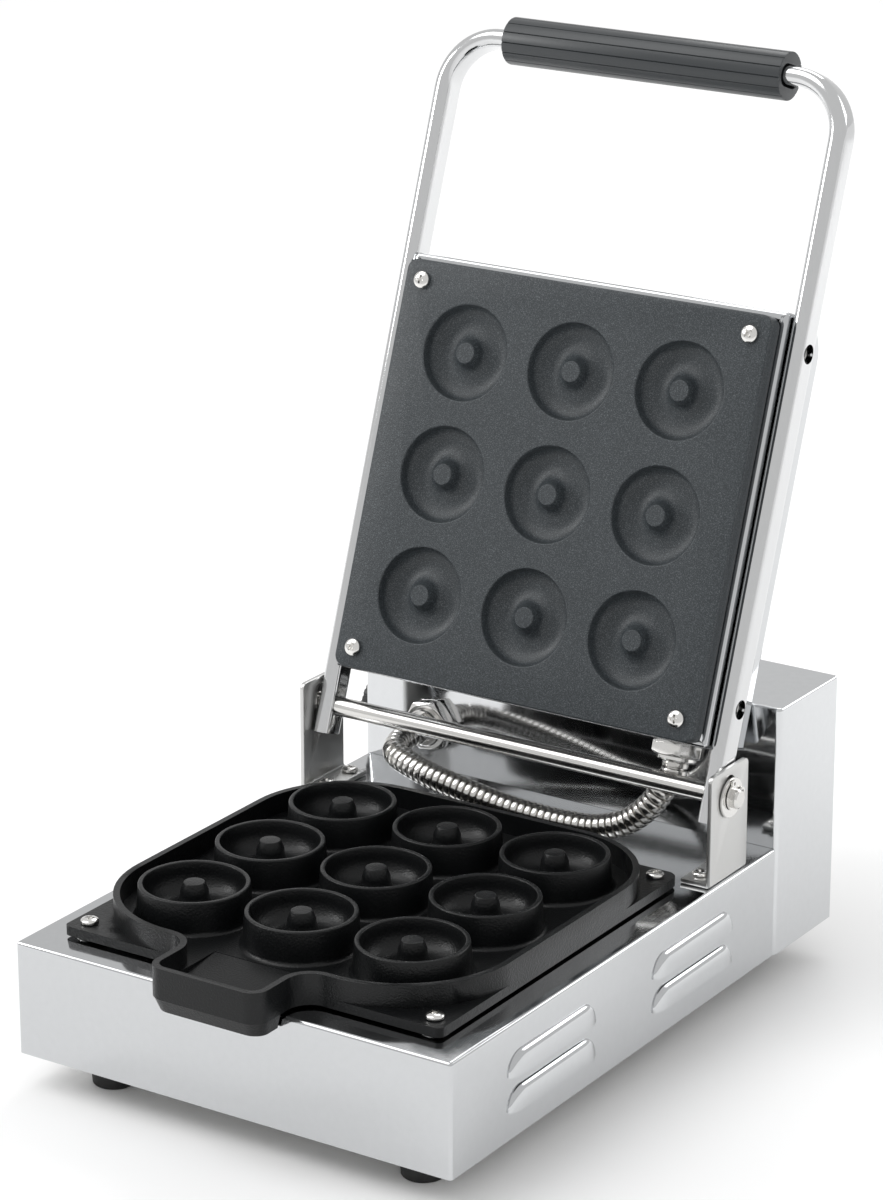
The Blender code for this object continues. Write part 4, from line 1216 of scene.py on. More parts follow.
    def _ring(self) -> list[Point2]:
        """Section of a ring mould from the pin's top to its foot on the gutter floor.

        Returns:
            Points of radius and height.
        """
        top = self.layout.ring_top
        bowl_z = top - 4.6 * MM
        mid = (self.cavity + self.pin_base) / 2
        reach = (self.cavity - self.pin_base) / 2
        lip = self.ring_outer - 0.9 * MM
        points = [(0.0, top)]
        points += arc((self.pin - 0.6 * MM, top - 0.6 * MM), 0.6 * MM, 90, 12, 4)
        points += oval_arc((mid, bowl_z), (reach, self.depth - 4.6 * MM), 180, 360, 22)
        points += arc((self.cavity + 1.2 * MM, top - 0.8 * MM), 0.8 * MM, 172, 90, 4)
        points += arc((lip, top - 0.9 * MM), 0.9 * MM, 90, 4, 5)
        foot = self.ring_outer + 1.0 * MM
        points += arc((foot + 2.6 * MM, self.floor + 2.5 * MM), 2.6 * MM, 176, 270, 8)
        points.append((foot + 3.0 * MM, self.floor - 0.5 * MM))
        return points

    def _heater(self, at: Matrix) -> None:
        """Heater plate in the deck's window, and the bright standoffs.

        Args:
            at: the tray's place.
        """
        low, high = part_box("lower_heater_plate")
        half = (high.x - low.x) / 2
        plate = Workshop.traced("heater_plate", self._slab(half, 6 * MM, 6 * MM), low.z, high.z, at)
        Workshop.soften(plate, 0.5 * MM, 2)
        self.hand_over(plate, "tray_coating", "base", "cast_tray", ["lower_heater_plate"])
        for index in range(4):
            name = f"standoff_{index + 1}"
            s_low, s_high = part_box(name)
            tall = s_high.z - s_low.z
            bulge = [(2.4 * MM, tall), (6.6 * MM, tall), (7.0 * MM, tall / 2), (6.6 * MM, 0.0),
                     (2.4 * MM, 0.0), (2.4 * MM, tall)]
            spacer = Workshop.turned(f"spacer_{index + 1}", bulge,
                                     ((s_low.x + s_high.x) / 2, (s_low.y + s_high.y) / 2, s_low.z), steps=40)
            self.hand_over(spacer, "nickel", "base", "fastener", [name])
        self.dress("element_sheath", "lower_element")
        self.dress("satin_steel", "lower_heat_shield")


# ------------------------------------------------------------------ hinge
@dataclass
class HingeSet(SubAssembly):
    """Brackets with upright slots, the through shaft, washers and retaining rings."""

    inner: float = 126.0 * MM
    thick: float = 2.5 * MM
    front: float = 18.5 * MM
    rear: float = 19.5 * MM
    tall: float = 61.5 * MM
    foot: float = 15 * MM
    slot_radius: float = 5.6 * MM
    float_up: float = 6.0 * MM
    shaft_radius: float = 5.25 * MM
    washer_radius: float = 10.7 * MM
    washer_thick: float = 1.5 * MM
    clip_gap: float = 30.0
    clip_turn: float = 52.0
    eye_place: float = 8.1 * MM

    def build(self) -> None:
        """Builds both brackets and the shaft set."""
        for side in (-1, 1):
            self._bracket(side)
        self._shaft()
        for side in (-1, 1):
            self._rings(side)

    def _bracket(self, side: int) -> None:
        """One bent bracket with its slot.

        Args:
            side: 1 for right, -1 for left.
        """
        lay = self.layout
        hinge = lay.hinge
        tag = "right" if side > 0 else "left"
        base = lay.deck_z + 0.3 * MM
        top = lay.deck_z + self.tall
        near, far = hinge.y - self.front, hinge.y + self.rear
        outline = [(self.inner - self.foot, base), (self.inner + self.thick - 2 * MM, base)]
        outline += arc((self.inner + self.thick - 2 * MM, base + 2 * MM), 2 * MM, -90, 0, 5)[1:]
        outline += [(self.inner + self.thick, top), (self.inner, top)]
        outline += arc((self.inner - 1 * MM, base + self.thick + 1 * MM), 1 * MM, 0, -90, 4)
        outline += [(self.inner - self.foot, base + self.thick)]
        if side < 0:
            outline = [(-x, z) for x, z in outline]
        stand = Matrix(((1, 0, 0, lay.mid_x), (0, 0, 1, 0), (0, 1, 0, 0), (0, 0, 0, 1)))
        bracket = Workshop.traced(f"hinge_bracket_{tag}", outline, near, far, stand)
        Workshop.select_faces(bracket, lambda mid, normal: True)
        bpy.ops.mesh.normals_make_consistent(inside=False)
        bpy.ops.object.mode_set(mode="OBJECT")
        Workshop.round_edges(bracket, 3.2 * MM, 5,
                             lambda mid, run: abs(run.x) > 0.9 and mid.z > top - EDGE)
        low_z, high_z = hinge.z - 0.3 * MM, hinge.z + self.float_up + 0.3 * MM
        slot = arc((0, high_z), self.slot_radius, 0, 180, 16)
        slot += arc((0, low_z), self.slot_radius, 180, 360, 16)
        through = Matrix(((0, 0, 1, lay.mid_x + side * self.inner), (1, 0, 0, hinge.y), (0, 1, 0, 0),
                          (0, 0, 0, 1)))
        Workshop.cut(bracket, Workshop.traced("slot", slot, -20 * MM, 20 * MM, through))
        Workshop.soften(bracket, 0.35 * MM, 2, 50.0)
        self.hand_over(bracket, "satin_steel", "base", "satin_steel", [f"bracket_{tag}"])

    def _shaft(self) -> None:
        """Ground shaft with chamfered ends."""
        lay = self.layout
        low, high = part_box("hinge_shaft")
        half = (high.x - low.x) / 2
        radius = self.shaft_radius
        end = [(0.0, half), (radius - 0.9 * MM, half), (radius, half - 0.9 * MM)]
        profile = end + [(r, -h) for r, h in reversed(end)]
        shaft = Workshop.turned("through_shaft", profile, tuple(lay.hinge), Axis.X_PLUS, 48)
        self.hand_over(shaft, "shaft_steel", "shaft_carrier", "satin_steel", ["hinge_shaft"])

    def _rings(self, side: int) -> None:
        """Washer and retaining ring on one end.

        Args:
            side: 1 for right, -1 for left.
        """
        lay = self.layout
        tag = "right" if side > 0 else "left"
        axis = Axis.X_PLUS if side > 0 else Axis.X_MINUS
        low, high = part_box(f"washer_{tag}")
        face = low.x if side > 0 else high.x
        inner, outer, tall = self.shaft_radius + 0.3 * MM, self.washer_radius, self.washer_thick
        edge = 0.25 * MM
        loop = [(inner, tall), (outer - edge, tall), (outer, tall - edge), (outer, edge), (outer - edge, 0.0),
                (inner, 0.0), (inner, tall)]
        washer = Workshop.turned(f"flat_washer_{tag}", loop, (face, lay.hinge.y, lay.hinge.z), axis, 56)
        self.hand_over(washer, "nickel", "shaft_carrier", "fastener", [f"washer_{tag}"])
        c_low, c_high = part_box(f"circlip_{tag}")
        self._clip(tag, (c_low.x + c_high.x) / 2, c_high.x - c_low.x)

    def _clip(self, tag: str, x: float, thick: float) -> None:
        """Retaining ring with two plier eyes, its gap up and to the rear.

        Args:
            tag: left or right.
            x: where it sits along the shaft.
            thick: its thickness.
        """
        lay = self.layout
        gap = self.clip_gap
        outline = oval_arc((0.7 * MM, 0.0), (7.3 * MM, 7.5 * MM), gap, 360 - gap, 40)
        outline += arc((0, 0), self.shaft_radius - 0.5 * MM, 360 - gap, gap, 36)
        turn = Matrix.Rotation(math.pi / 2, 4, "Z") @ Matrix.Rotation(math.pi / 2, 4, "X")
        face_on = Matrix.Translation(Vector((x, lay.hinge.y, lay.hinge.z))) @ turn
        face_on = face_on @ Matrix.Rotation(math.radians(self.clip_turn), 4, "Z")
        clip = Workshop.traced(f"retaining_ring_{tag}", outline, -thick / 2, thick / 2)
        for sign in (-1, 1):
            angle = math.radians(sign * (gap + 12.0))
            spot = (self.eye_place * math.cos(angle), self.eye_place * math.sin(angle), 0.0)
            Workshop.weld(clip, Workshop.rod("eye", 2.2 * MM, thick, spot, Axis.Z_PLUS, 24))
            Workshop.cut(clip, Workshop.rod("eye_hole", 0.9 * MM, thick * 3, spot, Axis.Z_PLUS, 16))
        Workshop.move(clip, face_on)
        self.hand_over(clip, "nickel", "shaft_carrier", "fastener", [f"circlip_{tag}"])


# ------------------------------------------------------------------ head
@dataclass
class Head(SubAssembly):
    """Cooking plate, casing, handle and grip, modelled upright about the hinge."""

    face: float = -20.2 * MM
    plate_v: float = 135 * MM
    plate_half: float = 111.6 * MM
    plate_thick: float = 10 * MM
    plate_corner: float = 6 * MM
    cavity: float = 26.0 * MM
    pin: float = 5.6 * MM
    case_half: float = 114.9 * MM
    case_back: float = 33.9 * MM
    case_low: float = 22 * MM
    case_high: float = 250.3 * MM
    roll: float = 22 * MM
    sheet: float = 1.2 * MM
    arm_x: float = 120.4 * MM
    arm_thick: float = 9.8 * MM
    arm_wide: float = 17.7 * MM
    arm_low: float = -15.5 * MM
    grip_v: float = 371 * MM
    bend: float = 30 * MM
    grip_radius: float = 12.8 * MM
    grip_half: float = 84.4 * MM
    flutes: int = 14
    pivot_radius: float = 5.45 * MM
    access_radius: float = 5.15 * MM

    def build(self) -> None:
        """Builds the head's pieces and puts them in the open position."""
        self._plate()
        self._casing()
        self._handle()
        self._grip()
        self.dress("element_sheath", "head_element")
        self.dress("satin_steel", "head_clamp_plate")
        self.dress("mineral_fibre", "head_insulation")

    def _open(self, item: bpy.types.Object) -> bpy.types.Object:
        """Moves a piece from the head's frame to its open place."""
        return Workshop.move(item, self.layout.head())

    def _cavity(self) -> list[Point2]:
        """Closed section of the ring-shaped hollow, from its pin to its rim.

        Returns:
            Points of radius and height, with the face at zero.
        """
        base, wall = self.pin + 1.7 * MM, self.cavity - 0.7 * MM
        mid, reach = (base + wall) / 2, (wall - base) / 2
        high = 2 * MM
        points = [(self.pin - 0.3 * MM, high), (self.pin - 0.3 * MM, 0.0)]
        points += arc((self.pin - 0.4 * MM, -0.5 * MM), 0.5 * MM, 80, 10, 4)
        points += oval_arc((mid, -3.6 * MM), (reach, 5.5 * MM), 180, 360, 24)
        points += arc((self.cavity + 0.6 * MM, -0.8 * MM), 0.8 * MM, 175, 92, 5)
        points += [(self.cavity + 0.7 * MM, high), points[0]]
        return points

    def _plate(self) -> None:
        """Cast plate with its nine hollows."""
        lay = self.layout
        half = self.plate_half
        radius = self.plate_corner
        outline = mirrored(arc((half - radius, -half + radius), radius, -90, 0, 8)
                           + arc((half - radius, half - radius), radius, 0, 90, 8))
        stand = Matrix.Translation(Vector((0, self.face + self.plate_thick, self.plate_v)))
        stand = stand @ Axis.Y_MINUS.matrix()
        plate = Workshop.traced("cooking_plate", outline, 0.0, self.plate_thick, stand)
        Workshop.soften(plate, 0.9 * MM, 3, 50.0)
        cutters = []
        for row in (-1, 0, 1):
            for column in (-1, 0, 1):
                spot = (column * lay.pitch, self.face, self.plate_v + row * lay.pitch)
                cutters.append(Workshop.turned("hollow", self._cavity(), spot, Axis.Y_MINUS, 72))
        tool = Workshop.join(cutters[0], cutters[1:])
        Workshop.cut(plate, tool)
        self._open(plate)
        self.hand_over(plate, "head_coating", "head", "cast_lid", ["head_plate"], angle=36.0)

    def _casing(self) -> None:
        """Drawn cover with a rolled upper rear edge and a narrow front lip."""
        front = self.face + self.plate_thick + 0.4 * MM
        half, low, high = self.case_half, self.case_low, self.case_high
        back = self.case_back
        casing = Workshop.cube("head_cover", (-half, front, low), (half, back, high))
        Workshop.round_edges(casing, self.roll, 12,
                             lambda mid, run: mid.z > high - EDGE and mid.y > back - EDGE)
        Workshop.round_edges(casing, 2.4 * MM, 4, lambda mid, run: mid.y > front + EDGE
                             and abs(run.x) < 0.5 and abs(abs(mid.x) - half) < EDGE)
        Workshop.round_edges(casing, 1.8 * MM, 4, lambda mid, run: mid.y < front + EDGE)
        Workshop.select_faces(casing, lambda mid, normal: normal.y < -0.99)
        bpy.ops.mesh.inset(thickness=2.6 * MM, use_even_offset=True)
        bpy.ops.mesh.delete(type="FACE")
        bpy.ops.object.mode_set(mode="OBJECT")
        Workshop.sheet(casing, self.sheet)
        self._open(casing)
        self.hand_over(casing, "polished_steel", "head", "stainless", ["head_casing"], angle=30.0)

    def _section(self, wide: float, thick: float, steps: int) -> list[Point2]:
        """Flat-oval section, thin along X and wide along Y.

        Args:
            wide: its size along Y.
            thick: its size along X.
            steps: steps in each round end.

        Returns:
            The outline about its centre.
        """
        radius = thick / 2
        reach = wide / 2 - radius
        return arc((0, reach), radius, 0, 180, steps) + arc((0, -reach), radius, 180, 360, steps)

    def _handle(self) -> None:
        """U-shaped flat-oval tube, drawn up one arm, round the bends and down the other."""
        section = self._section(self.arm_wide, self.arm_thick, 12)
        line = [(x - self.arm_x, y, self.arm_low) for x, y in section]
        line.append(line[0])
        handle = Workshop.point("handle_tube", line[0])
        Workshop.draw(line)
        bpy.ops.mesh.select_all(action="SELECT")
        bpy.ops.mesh.remove_doubles(threshold=1e-7)
        bpy.ops.mesh.select_all(action="SELECT")
        bpy.ops.mesh.select_mode(type="EDGE")
        bpy.ops.mesh.select_all(action="SELECT")
        straight = self.grip_v - self.bend
        span = self.arm_x - self.bend
        bpy.ops.mesh.extrude_region_move(TRANSFORM_OT_translate={"value": (0, 0, straight - self.arm_low)})
        quarter = -math.pi / 2
        bpy.ops.mesh.spin(steps=16, angle=quarter, center=(-span, 0, straight), axis=(0, 1, 0))
        bpy.ops.mesh.extrude_region_move(TRANSFORM_OT_translate={"value": (2 * span, 0, 0)})
        bpy.ops.mesh.spin(steps=16, angle=quarter, center=(span, 0, straight), axis=(0, 1, 0))
        bpy.ops.mesh.extrude_region_move(TRANSFORM_OT_translate={"value": (0, 0, self.arm_low - straight)})
        bpy.ops.mesh.select_all(action="SELECT")
        bpy.ops.mesh.remove_doubles(threshold=1e-6)
        bpy.ops.mesh.select_all(action="SELECT")
        bpy.ops.mesh.normals_make_consistent(inside=False)
        bpy.ops.object.mode_set(mode="OBJECT")
        Workshop.sheet(handle, 1.5 * MM)
        for side in (-1, 1):
            inner, outer = side * (self.arm_x - self.arm_thick), side * (self.arm_x + self.arm_thick / 2)
            drills = [Workshop.rod("pivot", self.pivot_radius, 40 * MM, (inner, 0, 0), Axis.X_PLUS, 44)]
            drills += [Workshop.rod("access", self.access_radius, 6 * MM, (outer, 0, v), Axis.X_PLUS, 36)
                       for v in ARM_BOLTS]
            for drill in drills:
                Workshop.combine(handle, drill, "DIFFERENCE", "MANIFOLD")
        self._open(handle)
        self.hand_over(handle, "handle_steel", "head", "stainless", ["handle_frame"], angle=24.0)

    def _grip(self) -> None:
        """Fluted grip with bevelled ends and a flat-oval bore."""
        outline: list[Point2] = []
        step = 360.0 / self.flutes
        for index in range(self.flutes):
            start = index * step
            outline += arc((0, 0), self.grip_radius, start + step * 0.06, start + step * 0.94, 6)
            deep = math.radians(start + step)
            radius = self.grip_radius - 0.55 * MM
            outline.append((radius * math.cos(deep), radius * math.sin(deep)))
        place = Matrix.Translation(Vector((0, 0, self.grip_v))) @ Axis.X_PLUS.matrix()
        grip = Workshop.traced("hand_grip", outline, -self.grip_half, self.grip_half, place)
        Workshop.round_edges(grip, 1.1 * MM, 3, lambda mid, run: abs(mid.x) > self.grip_half - EDGE)
        bore = [(y, x) for x, y in self._section(self.arm_wide + 2.4 * MM, self.arm_thick + 2.4 * MM, 12)]
        lie = Matrix(((0, 0, 1, 0), (1, 0, 0, 0), (0, 1, 0, self.grip_v), (0, 0, 0, 1)))
        Workshop.cut(grip, Workshop.traced("bore", bore, -self.grip_half * 1.1, self.grip_half * 1.1, lie))
        self._open(grip)
        self.hand_over(grip, "grip_phenolic", "head", "grip", ["grip"], angle=22.0)


# ------------------------------------------------------------------ conduit
@dataclass
class Conduit(SubAssembly):
    """Interlocked steel conduit and its two hexagonal glands."""

    radius: float = 7.2 * MM
    across: float = 26 * MM
    pitch: float = 4.0 * MM
    nut_tall: float = 8.6 * MM
    box_nut: Point2 = (-85.3 * MM, 27 * MM)
    head_nut: Point2 = (86 * MM, 15.5 * MM)
    head_low: float = 22 * MM
    gland_reach: float = 11.6 * MM
    sides: int = 28
    stations: int = 9
    split: float = -30 * MM

    def build(self) -> None:
        """Builds the glands and the hose."""
        lay = self.layout
        box_at = lay.on_deck(self.box_nut[0], lay.rear_y - lay.front_y + 0.3 * MM, self.box_nut[1])
        self._gland("box", Matrix.Translation(box_at) @ Axis.Y_MINUS.matrix(), "base")
        head_at = Matrix.Translation(Vector((self.head_nut[0], self.head_nut[1], self.head_low)))
        self._gland("head", lay.head() @ head_at @ Axis.Z_MINUS.matrix(), "head")
        self._hose()

    def _gland(self, tag: str, matrix: Matrix, body: str) -> None:
        """Hexagonal nut with chamfered corners, a collar and a seat against the sheet.

        Args:
            tag: box or head.
            matrix: its place, +Z away from the sheet.
            body: the body it rides on.
        """
        corner = self.across / math.sqrt(3)
        nut = Workshop.traced(f"gland_{tag}", arc((0, 0), corner, 10, 310, 5), 0.4 * MM, self.nut_tall)
        flat = self.across / 2
        cap = [(0.0, self.nut_tall), (flat - 0.4 * MM, self.nut_tall),
               (corner + 0.3 * MM, self.nut_tall - 1.7 * MM), (corner + 0.3 * MM, 2.0 * MM),
               (flat - 0.2 * MM, 0.4 * MM), (0.0, 0.4 * MM)]
        Workshop.combine(nut, Workshop.turned("chamfer", cap, steps=64), "INTERSECT")
        collar = [(self.radius - 1.2 * MM, self.nut_tall - MM), (10.6 * MM, self.nut_tall - MM),
                  (10.6 * MM, 10.3 * MM), (9.9 * MM, 11.1 * MM), (self.radius + 0.5 * MM, 11.1 * MM),
                  (self.radius + 0.4 * MM, 9.8 * MM), (self.radius - 1.2 * MM, 9.8 * MM),
                  (self.radius - 1.2 * MM, self.nut_tall - MM)]
        Workshop.soften(nut, 0.3 * MM, 2, 50.0)
        nut = Workshop.join(nut, [Workshop.turned("collar", collar, steps=48)])
        Workshop.move(nut, matrix)
        self.hand_over(nut, "nickel", body, "fastener", [f"{tag}_gland"])

    def route(self) -> list[Vector]:
        """Centre line of the hose, from the box gland to the head gland.

        Returns:
            Points on a smooth curve.
        """
        lay = self.layout
        depth = lay.rear_y - lay.front_y + 0.3 * MM
        reach = self.gland_reach
        mouth = depth - reach
        deck = [(-85.3, None, 27.0), (-86, 291, 26.9), (-86, 279, 25.4), (-79, 268, 23.6), (-56, 262, 19.8),
                (-30, 261, 15.6), (-9, 262, 11.9), (11, 264.5, 9.2), (30, 267, 8.1), (46.5, 270, 8.7),
                (63, 273.5, 14.6), (75.5, 276, 26), (82.5, 279, 38)]
        guide = [lay.on_deck(x * MM, mouth - 5 * MM if y is None else y * MM, z * MM) for x, y, z in deck]
        turn = lay.head()
        guide.append(turn @ Vector((self.head_nut[0], self.head_nut[1], self.head_low - 17 * MM)))
        curve = [lay.on_deck(self.box_nut[0], mouth, self.box_nut[1])]
        curve += self._through(guide, 10)
        curve.append(turn @ Vector((self.head_nut[0], self.head_nut[1], self.head_low - reach)))
        return curve

    @staticmethod
    def _through(guide: Sequence[Vector], samples: int) -> list[Vector]:
        """Smooth curve through guide points.

        Args:
            guide: the points, in order.
            samples: steps between two points.

        Returns:
            The curve's points, from the first guide point to the last.
        """
        ends = [2 * guide[0] - guide[1], *guide, 2 * guide[-1] - guide[-2]]
        curve = []
        for index in range(1, len(ends) - 2):
            a, b, c, d = ends[index - 1:index + 3]
            for step in range(samples):
                t = step / samples
                curve.append(0.5 * ((2 * b) + (c - a) * t + (2 * a - 5 * b + 4 * c - d) * t * t
                                    + (3 * b - a - 3 * c + d) * t * t * t))
        curve.append(ends[-2])
        return curve

    @staticmethod
    def _resampled(curve: Sequence[Vector], step: float) -> list[Vector]:
        """Points an even step apart along a curve.

        Args:
            curve: the curve's points.
            step: the step wanted, which is fitted to the length.

        Returns:
            The even points, both ends included.
        """
        total = sum((b - a).length for a, b in zip(curve, curve[1:]))
        count = max(2, round(total / step))
        wanted = total / count
        out, travelled, target = [curve[0].copy()], 0.0, wanted
        for a, b in zip(curve, curve[1:]):
            length = (b - a).length
            while length > 0 and travelled + length >= target - 1e-9 and len(out) <= count:
                out.append(a.lerp(b, (target - travelled) / length))
                target += wanted
            travelled += length
        return out

    def _band(self, share: float) -> float:
        """Radius across one band: a flat crown, a rolled edge and a groove.

        Args:
            share: how far along the band, 0 to 1.

        Returns:
            The radius.
        """
        if share < 0.12:
            return self.radius - 1.7 * MM
        if share < 0.22 or share > 0.88:
            return self.radius - 0.22 * MM
        return self.radius - 0.06 * MM * abs(share - 0.55) * 6

    def _hose(self) -> None:
        """Banded tube in two lengths, split left of the middle."""
        lay = self.layout
        points = self._resampled(self.route(), self.pitch / self.stations)
        split_x = lay.mid_x + self.split
        loop_y = lay.on_deck(0, 270 * MM, 0).y
        split = next(i for i, p in enumerate(points) if p.x > split_x and p.y < loop_y)
        split -= split % self.stations
        frames = self._frames(points)
        first = self._tube("conduit_box_side", points, frames, 0, split)
        second = self._tube("conduit_head_side", points, frames, split, len(points) - 1)
        for piece in (first, second):
            piece.data.materials.append(self.finishes["conduit_steel"])
            self.made.append(piece.name)
        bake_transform(first)
        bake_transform(second)
        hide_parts("conduit_hose")
        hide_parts("conduit_hose")

    @staticmethod
    def _frames(points: Sequence[Vector]) -> list[tuple[Vector, Vector]]:
        """Two directions across the hose at each point, carried along without twist.

        Args:
            points: the hose's centre line.

        Returns:
            A pair of unit vectors for each point.
        """
        frames = []
        across = Vector((0, 0, 1))
        for index, _ in enumerate(points):
            before, after = points[max(index - 1, 0)], points[min(index + 1, len(points) - 1)]
            along = (after - before).normalized()
            across = (across - along * across.dot(along)).normalized()
            frames.append((across.copy(), along.cross(across)))
        return frames

    def _tube(self, name: str, points: Sequence[Vector], frames: Sequence[tuple[Vector, Vector]],
              first: int, last: int) -> bpy.types.Object:
        """One length of banded tube, closed at both ends.

        Args:
            name: the object's name.
            points: the hose's centre line.
            frames: the two directions across it at each point.
            first: index of its first point.
            last: index of its last point.

        Returns:
            The tube.
        """
        mesh_bm = bmesh.new()
        rows = []
        for index in range(first, last + 1):
            radius = self._band((index % self.stations) / self.stations)
            side, rise = frames[index]
            ring = []
            for step in range(self.sides):
                angle = 2 * math.pi * step / self.sides
                out = side * math.cos(angle) + rise * math.sin(angle)
                ring.append(mesh_bm.verts.new(points[index] + out * radius))
            rows.append(ring)
        for near, far in zip(rows, rows[1:]):
            for step in range(self.sides):
                after = (step + 1) % self.sides
                mesh_bm.faces.new((near[step], near[after], far[after], far[step]))
        mesh_bm.faces.new(list(reversed(rows[0])))
        mesh_bm.faces.new(rows[-1])
        bmesh.ops.recalc_face_normals(mesh_bm, faces=mesh_bm.faces)
        mesh = bpy.data.meshes.new(name)
        mesh_bm.to_mesh(mesh)
        mesh_bm.free()
        item = bpy.data.objects.new(name, mesh)
        bpy.context.scene.collection.objects.link(item)
        return Workshop.smooth(item, 30.0)


# ------------------------------------------------------------------ control box
@dataclass
class ControlBox(SubAssembly):
    """Rear control box with its knobs, lamps and rocker switch on the left side."""

    sheet: float = 1.5 * MM
    corner: float = 3.0 * MM
    timer_z: float = 137 * MM
    thermostat_z: float = 99 * MM
    lamp_z: float = 69 * MM
    switch_z: float = 44 * MM
    switch_half: Point2 = (11.3 * MM, 7.3 * MM)
    bush_radius: float = 4.0 * MM
    lamp_way: float = 4.3 * MM
    lamp_spread: float = 12 * MM
    flutes: int = 18
    marks: int = 11

    def __post_init__(self) -> None:
        """Reads the box's corners."""
        self.low, self.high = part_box("control_box")
        self.mid_y = (self.low.y + self.high.y) / 2

    def build(self) -> None:
        """Builds the box, its controls and the rear panel's trim."""
        low, high = self.low, self.high
        box = Workshop.cube("control_box_sheet", low, high)
        Workshop.round_edges(box, self.corner, 6,
                             lambda mid, run: abs(run.z) > 0.9 and mid.y < low.y + EDGE)
        Workshop.round_edges(box, 1.6 * MM, 4,
                             lambda mid, run: mid.z > high.z - EDGE and mid.y < high.y - EDGE)
        Workshop.drop_faces(box, lambda mid, normal: normal.z < -0.99 or normal.y > 0.99)
        Workshop.sheet(box, self.sheet)
        self._openings(box)
        self.hand_over(box, "box_steel", "base", "stainless", ["control_box"], angle=28.0)
        self._knob("timer", self.timer_z, 300.0)
        self._knob("thermostat", self.thermostat_z, 270.0)
        self._lamp("power", "lamp_green")
        self._lamp("heat", "lamp_amber")
        self.dress("control_black", "switch_housing", "switch_rocker", "timer_body", "cord_inlet")
        self.dress("porcelain", "terminal_block", "thermostat_body")
        self.dress("satin_steel", "rear_panel", "terminal_rail")

    def _openings(self, box: bpy.types.Object) -> None:
        """Cuts the holes for the controls and the bottom plate.

        Args:
            box: the box's sheet.
        """
        low, high = self.low, self.high
        inset = self.sheet + 0.2 * MM
        _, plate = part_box("bottom_plate")
        Workshop.cut(box, Workshop.cube("plate_way", (low.x + inset, low.y - 2 * MM, low.z - 2 * MM),
                                        (high.x - inset, low.y + 4.5 * MM, plate.z + 0.3 * MM)))
        for z in (self.timer_z, self.thermostat_z):
            Workshop.cut(box, Workshop.rod("bush", self.bush_radius, 8 * MM, (low.x, self.mid_y, z),
                                           Axis.X_PLUS, 24))
        for y in (-self.lamp_spread, self.lamp_spread):
            Workshop.cut(box, Workshop.rod("lamp_way", self.lamp_way, 8 * MM,
                                           (low.x, self.mid_y + y, self.lamp_z), Axis.X_PLUS, 24))
        wide, tall = self.switch_half
        Workshop.cut(box, Workshop.cube(
            "switch_way", (low.x - 2 * MM, self.mid_y - wide, self.switch_z - tall),
            (low.x + 4 * MM, self.mid_y + wide, self.switch_z + tall)))

    def _knob(self, tag: str, z: float, sweep: float) -> None:
        """A skirted, fluted knob with a pointer, and the printed scale behind it.

        Args:
            tag: timer or thermostat.
            z: its height.
            sweep: its travel in degrees.
        """
        place = Matrix.Translation(Vector((self.low.x - 0.8 * MM, self.mid_y, z))) @ Axis.X_MINUS.matrix()
        skirt = [(0.0, 3.4 * MM), (13.6 * MM, 3.4 * MM), (16.2 * MM, 2.6 * MM)]
        skirt += arc((16.4 * MM, 1.4 * MM), 0.6 * MM, 60, 0, 3) + [(17.0 * MM, 0.0), (0.0, 0.0)]
        knob = Workshop.turned(f"{tag}_dial", skirt, steps=72)
        flutes: list[Point2] = []
        for index in range(self.flutes):
            start = index * 360.0 / self.flutes
            flutes += arc((0, 0), 12.6 * MM, start + 2, start + 13, 3)
            flutes += arc((0, 0), 11.9 * MM, start + 15, start + 18, 2)
        drum = Workshop.traced("drum", flutes, 3.0 * MM, 14.8 * MM)
        Workshop.round_edges(drum, 0.8 * MM, 3, lambda mid, run: mid.z > 14.8 * MM - 1e-6)
        rib = Workshop.cube("rib", (-1.5 * MM, -11.6 * MM, 13 * MM), (1.5 * MM, 11.6 * MM, 16.8 * MM))
        Workshop.soften(rib, 0.6 * MM, 2)
        Workshop.join(knob, [drum, rib])
        Workshop.move(knob, place)
        self.hand_over(knob, "control_black", f"{tag}_dial", "control_black", [f"{tag}_knob"])
        line = Workshop.cube(f"{tag}_pointer", (-0.5 * MM, 2 * MM, 16.5 * MM),
                             (0.5 * MM, 11.2 * MM, 16.95 * MM))
        Workshop.soften(line, 0.15 * MM, 1)
        self.hand_over(Workshop.move(line, place), "dial_print", f"{tag}_dial", "control_black")
        self._scale(tag, z, sweep)

    def _scale(self, tag: str, z: float, sweep: float) -> None:
        """Raised marks around a knob.

        Args:
            tag: timer or thermostat.
            z: the knob's height.
            sweep: its travel in degrees.
        """
        marks = []
        inner = 18.4 * MM
        for index in range(self.marks):
            angle = math.radians(sweep * index / (self.marks - 1))
            reach = 1.6 * MM if index % 5 else 2.4 * MM
            mark = Workshop.cube("mark", (-0.25 * MM, inner, -0.02 * MM),
                                 (0.25 * MM, inner + reach, 0.10 * MM))
            Workshop.soften(mark, 0.04 * MM, 1)
            marks.append(Workshop.move(mark, Matrix.Rotation(-angle, 4, "Z")))
        scale = Workshop.join(marks[0], marks[1:])
        scale.name = f"{tag}_scale"
        place = Matrix.Translation(Vector((self.low.x, self.mid_y, z))) @ Axis.X_MINUS.matrix()
        self.hand_over(Workshop.move(scale, place), "control_black", "base", "control_black")

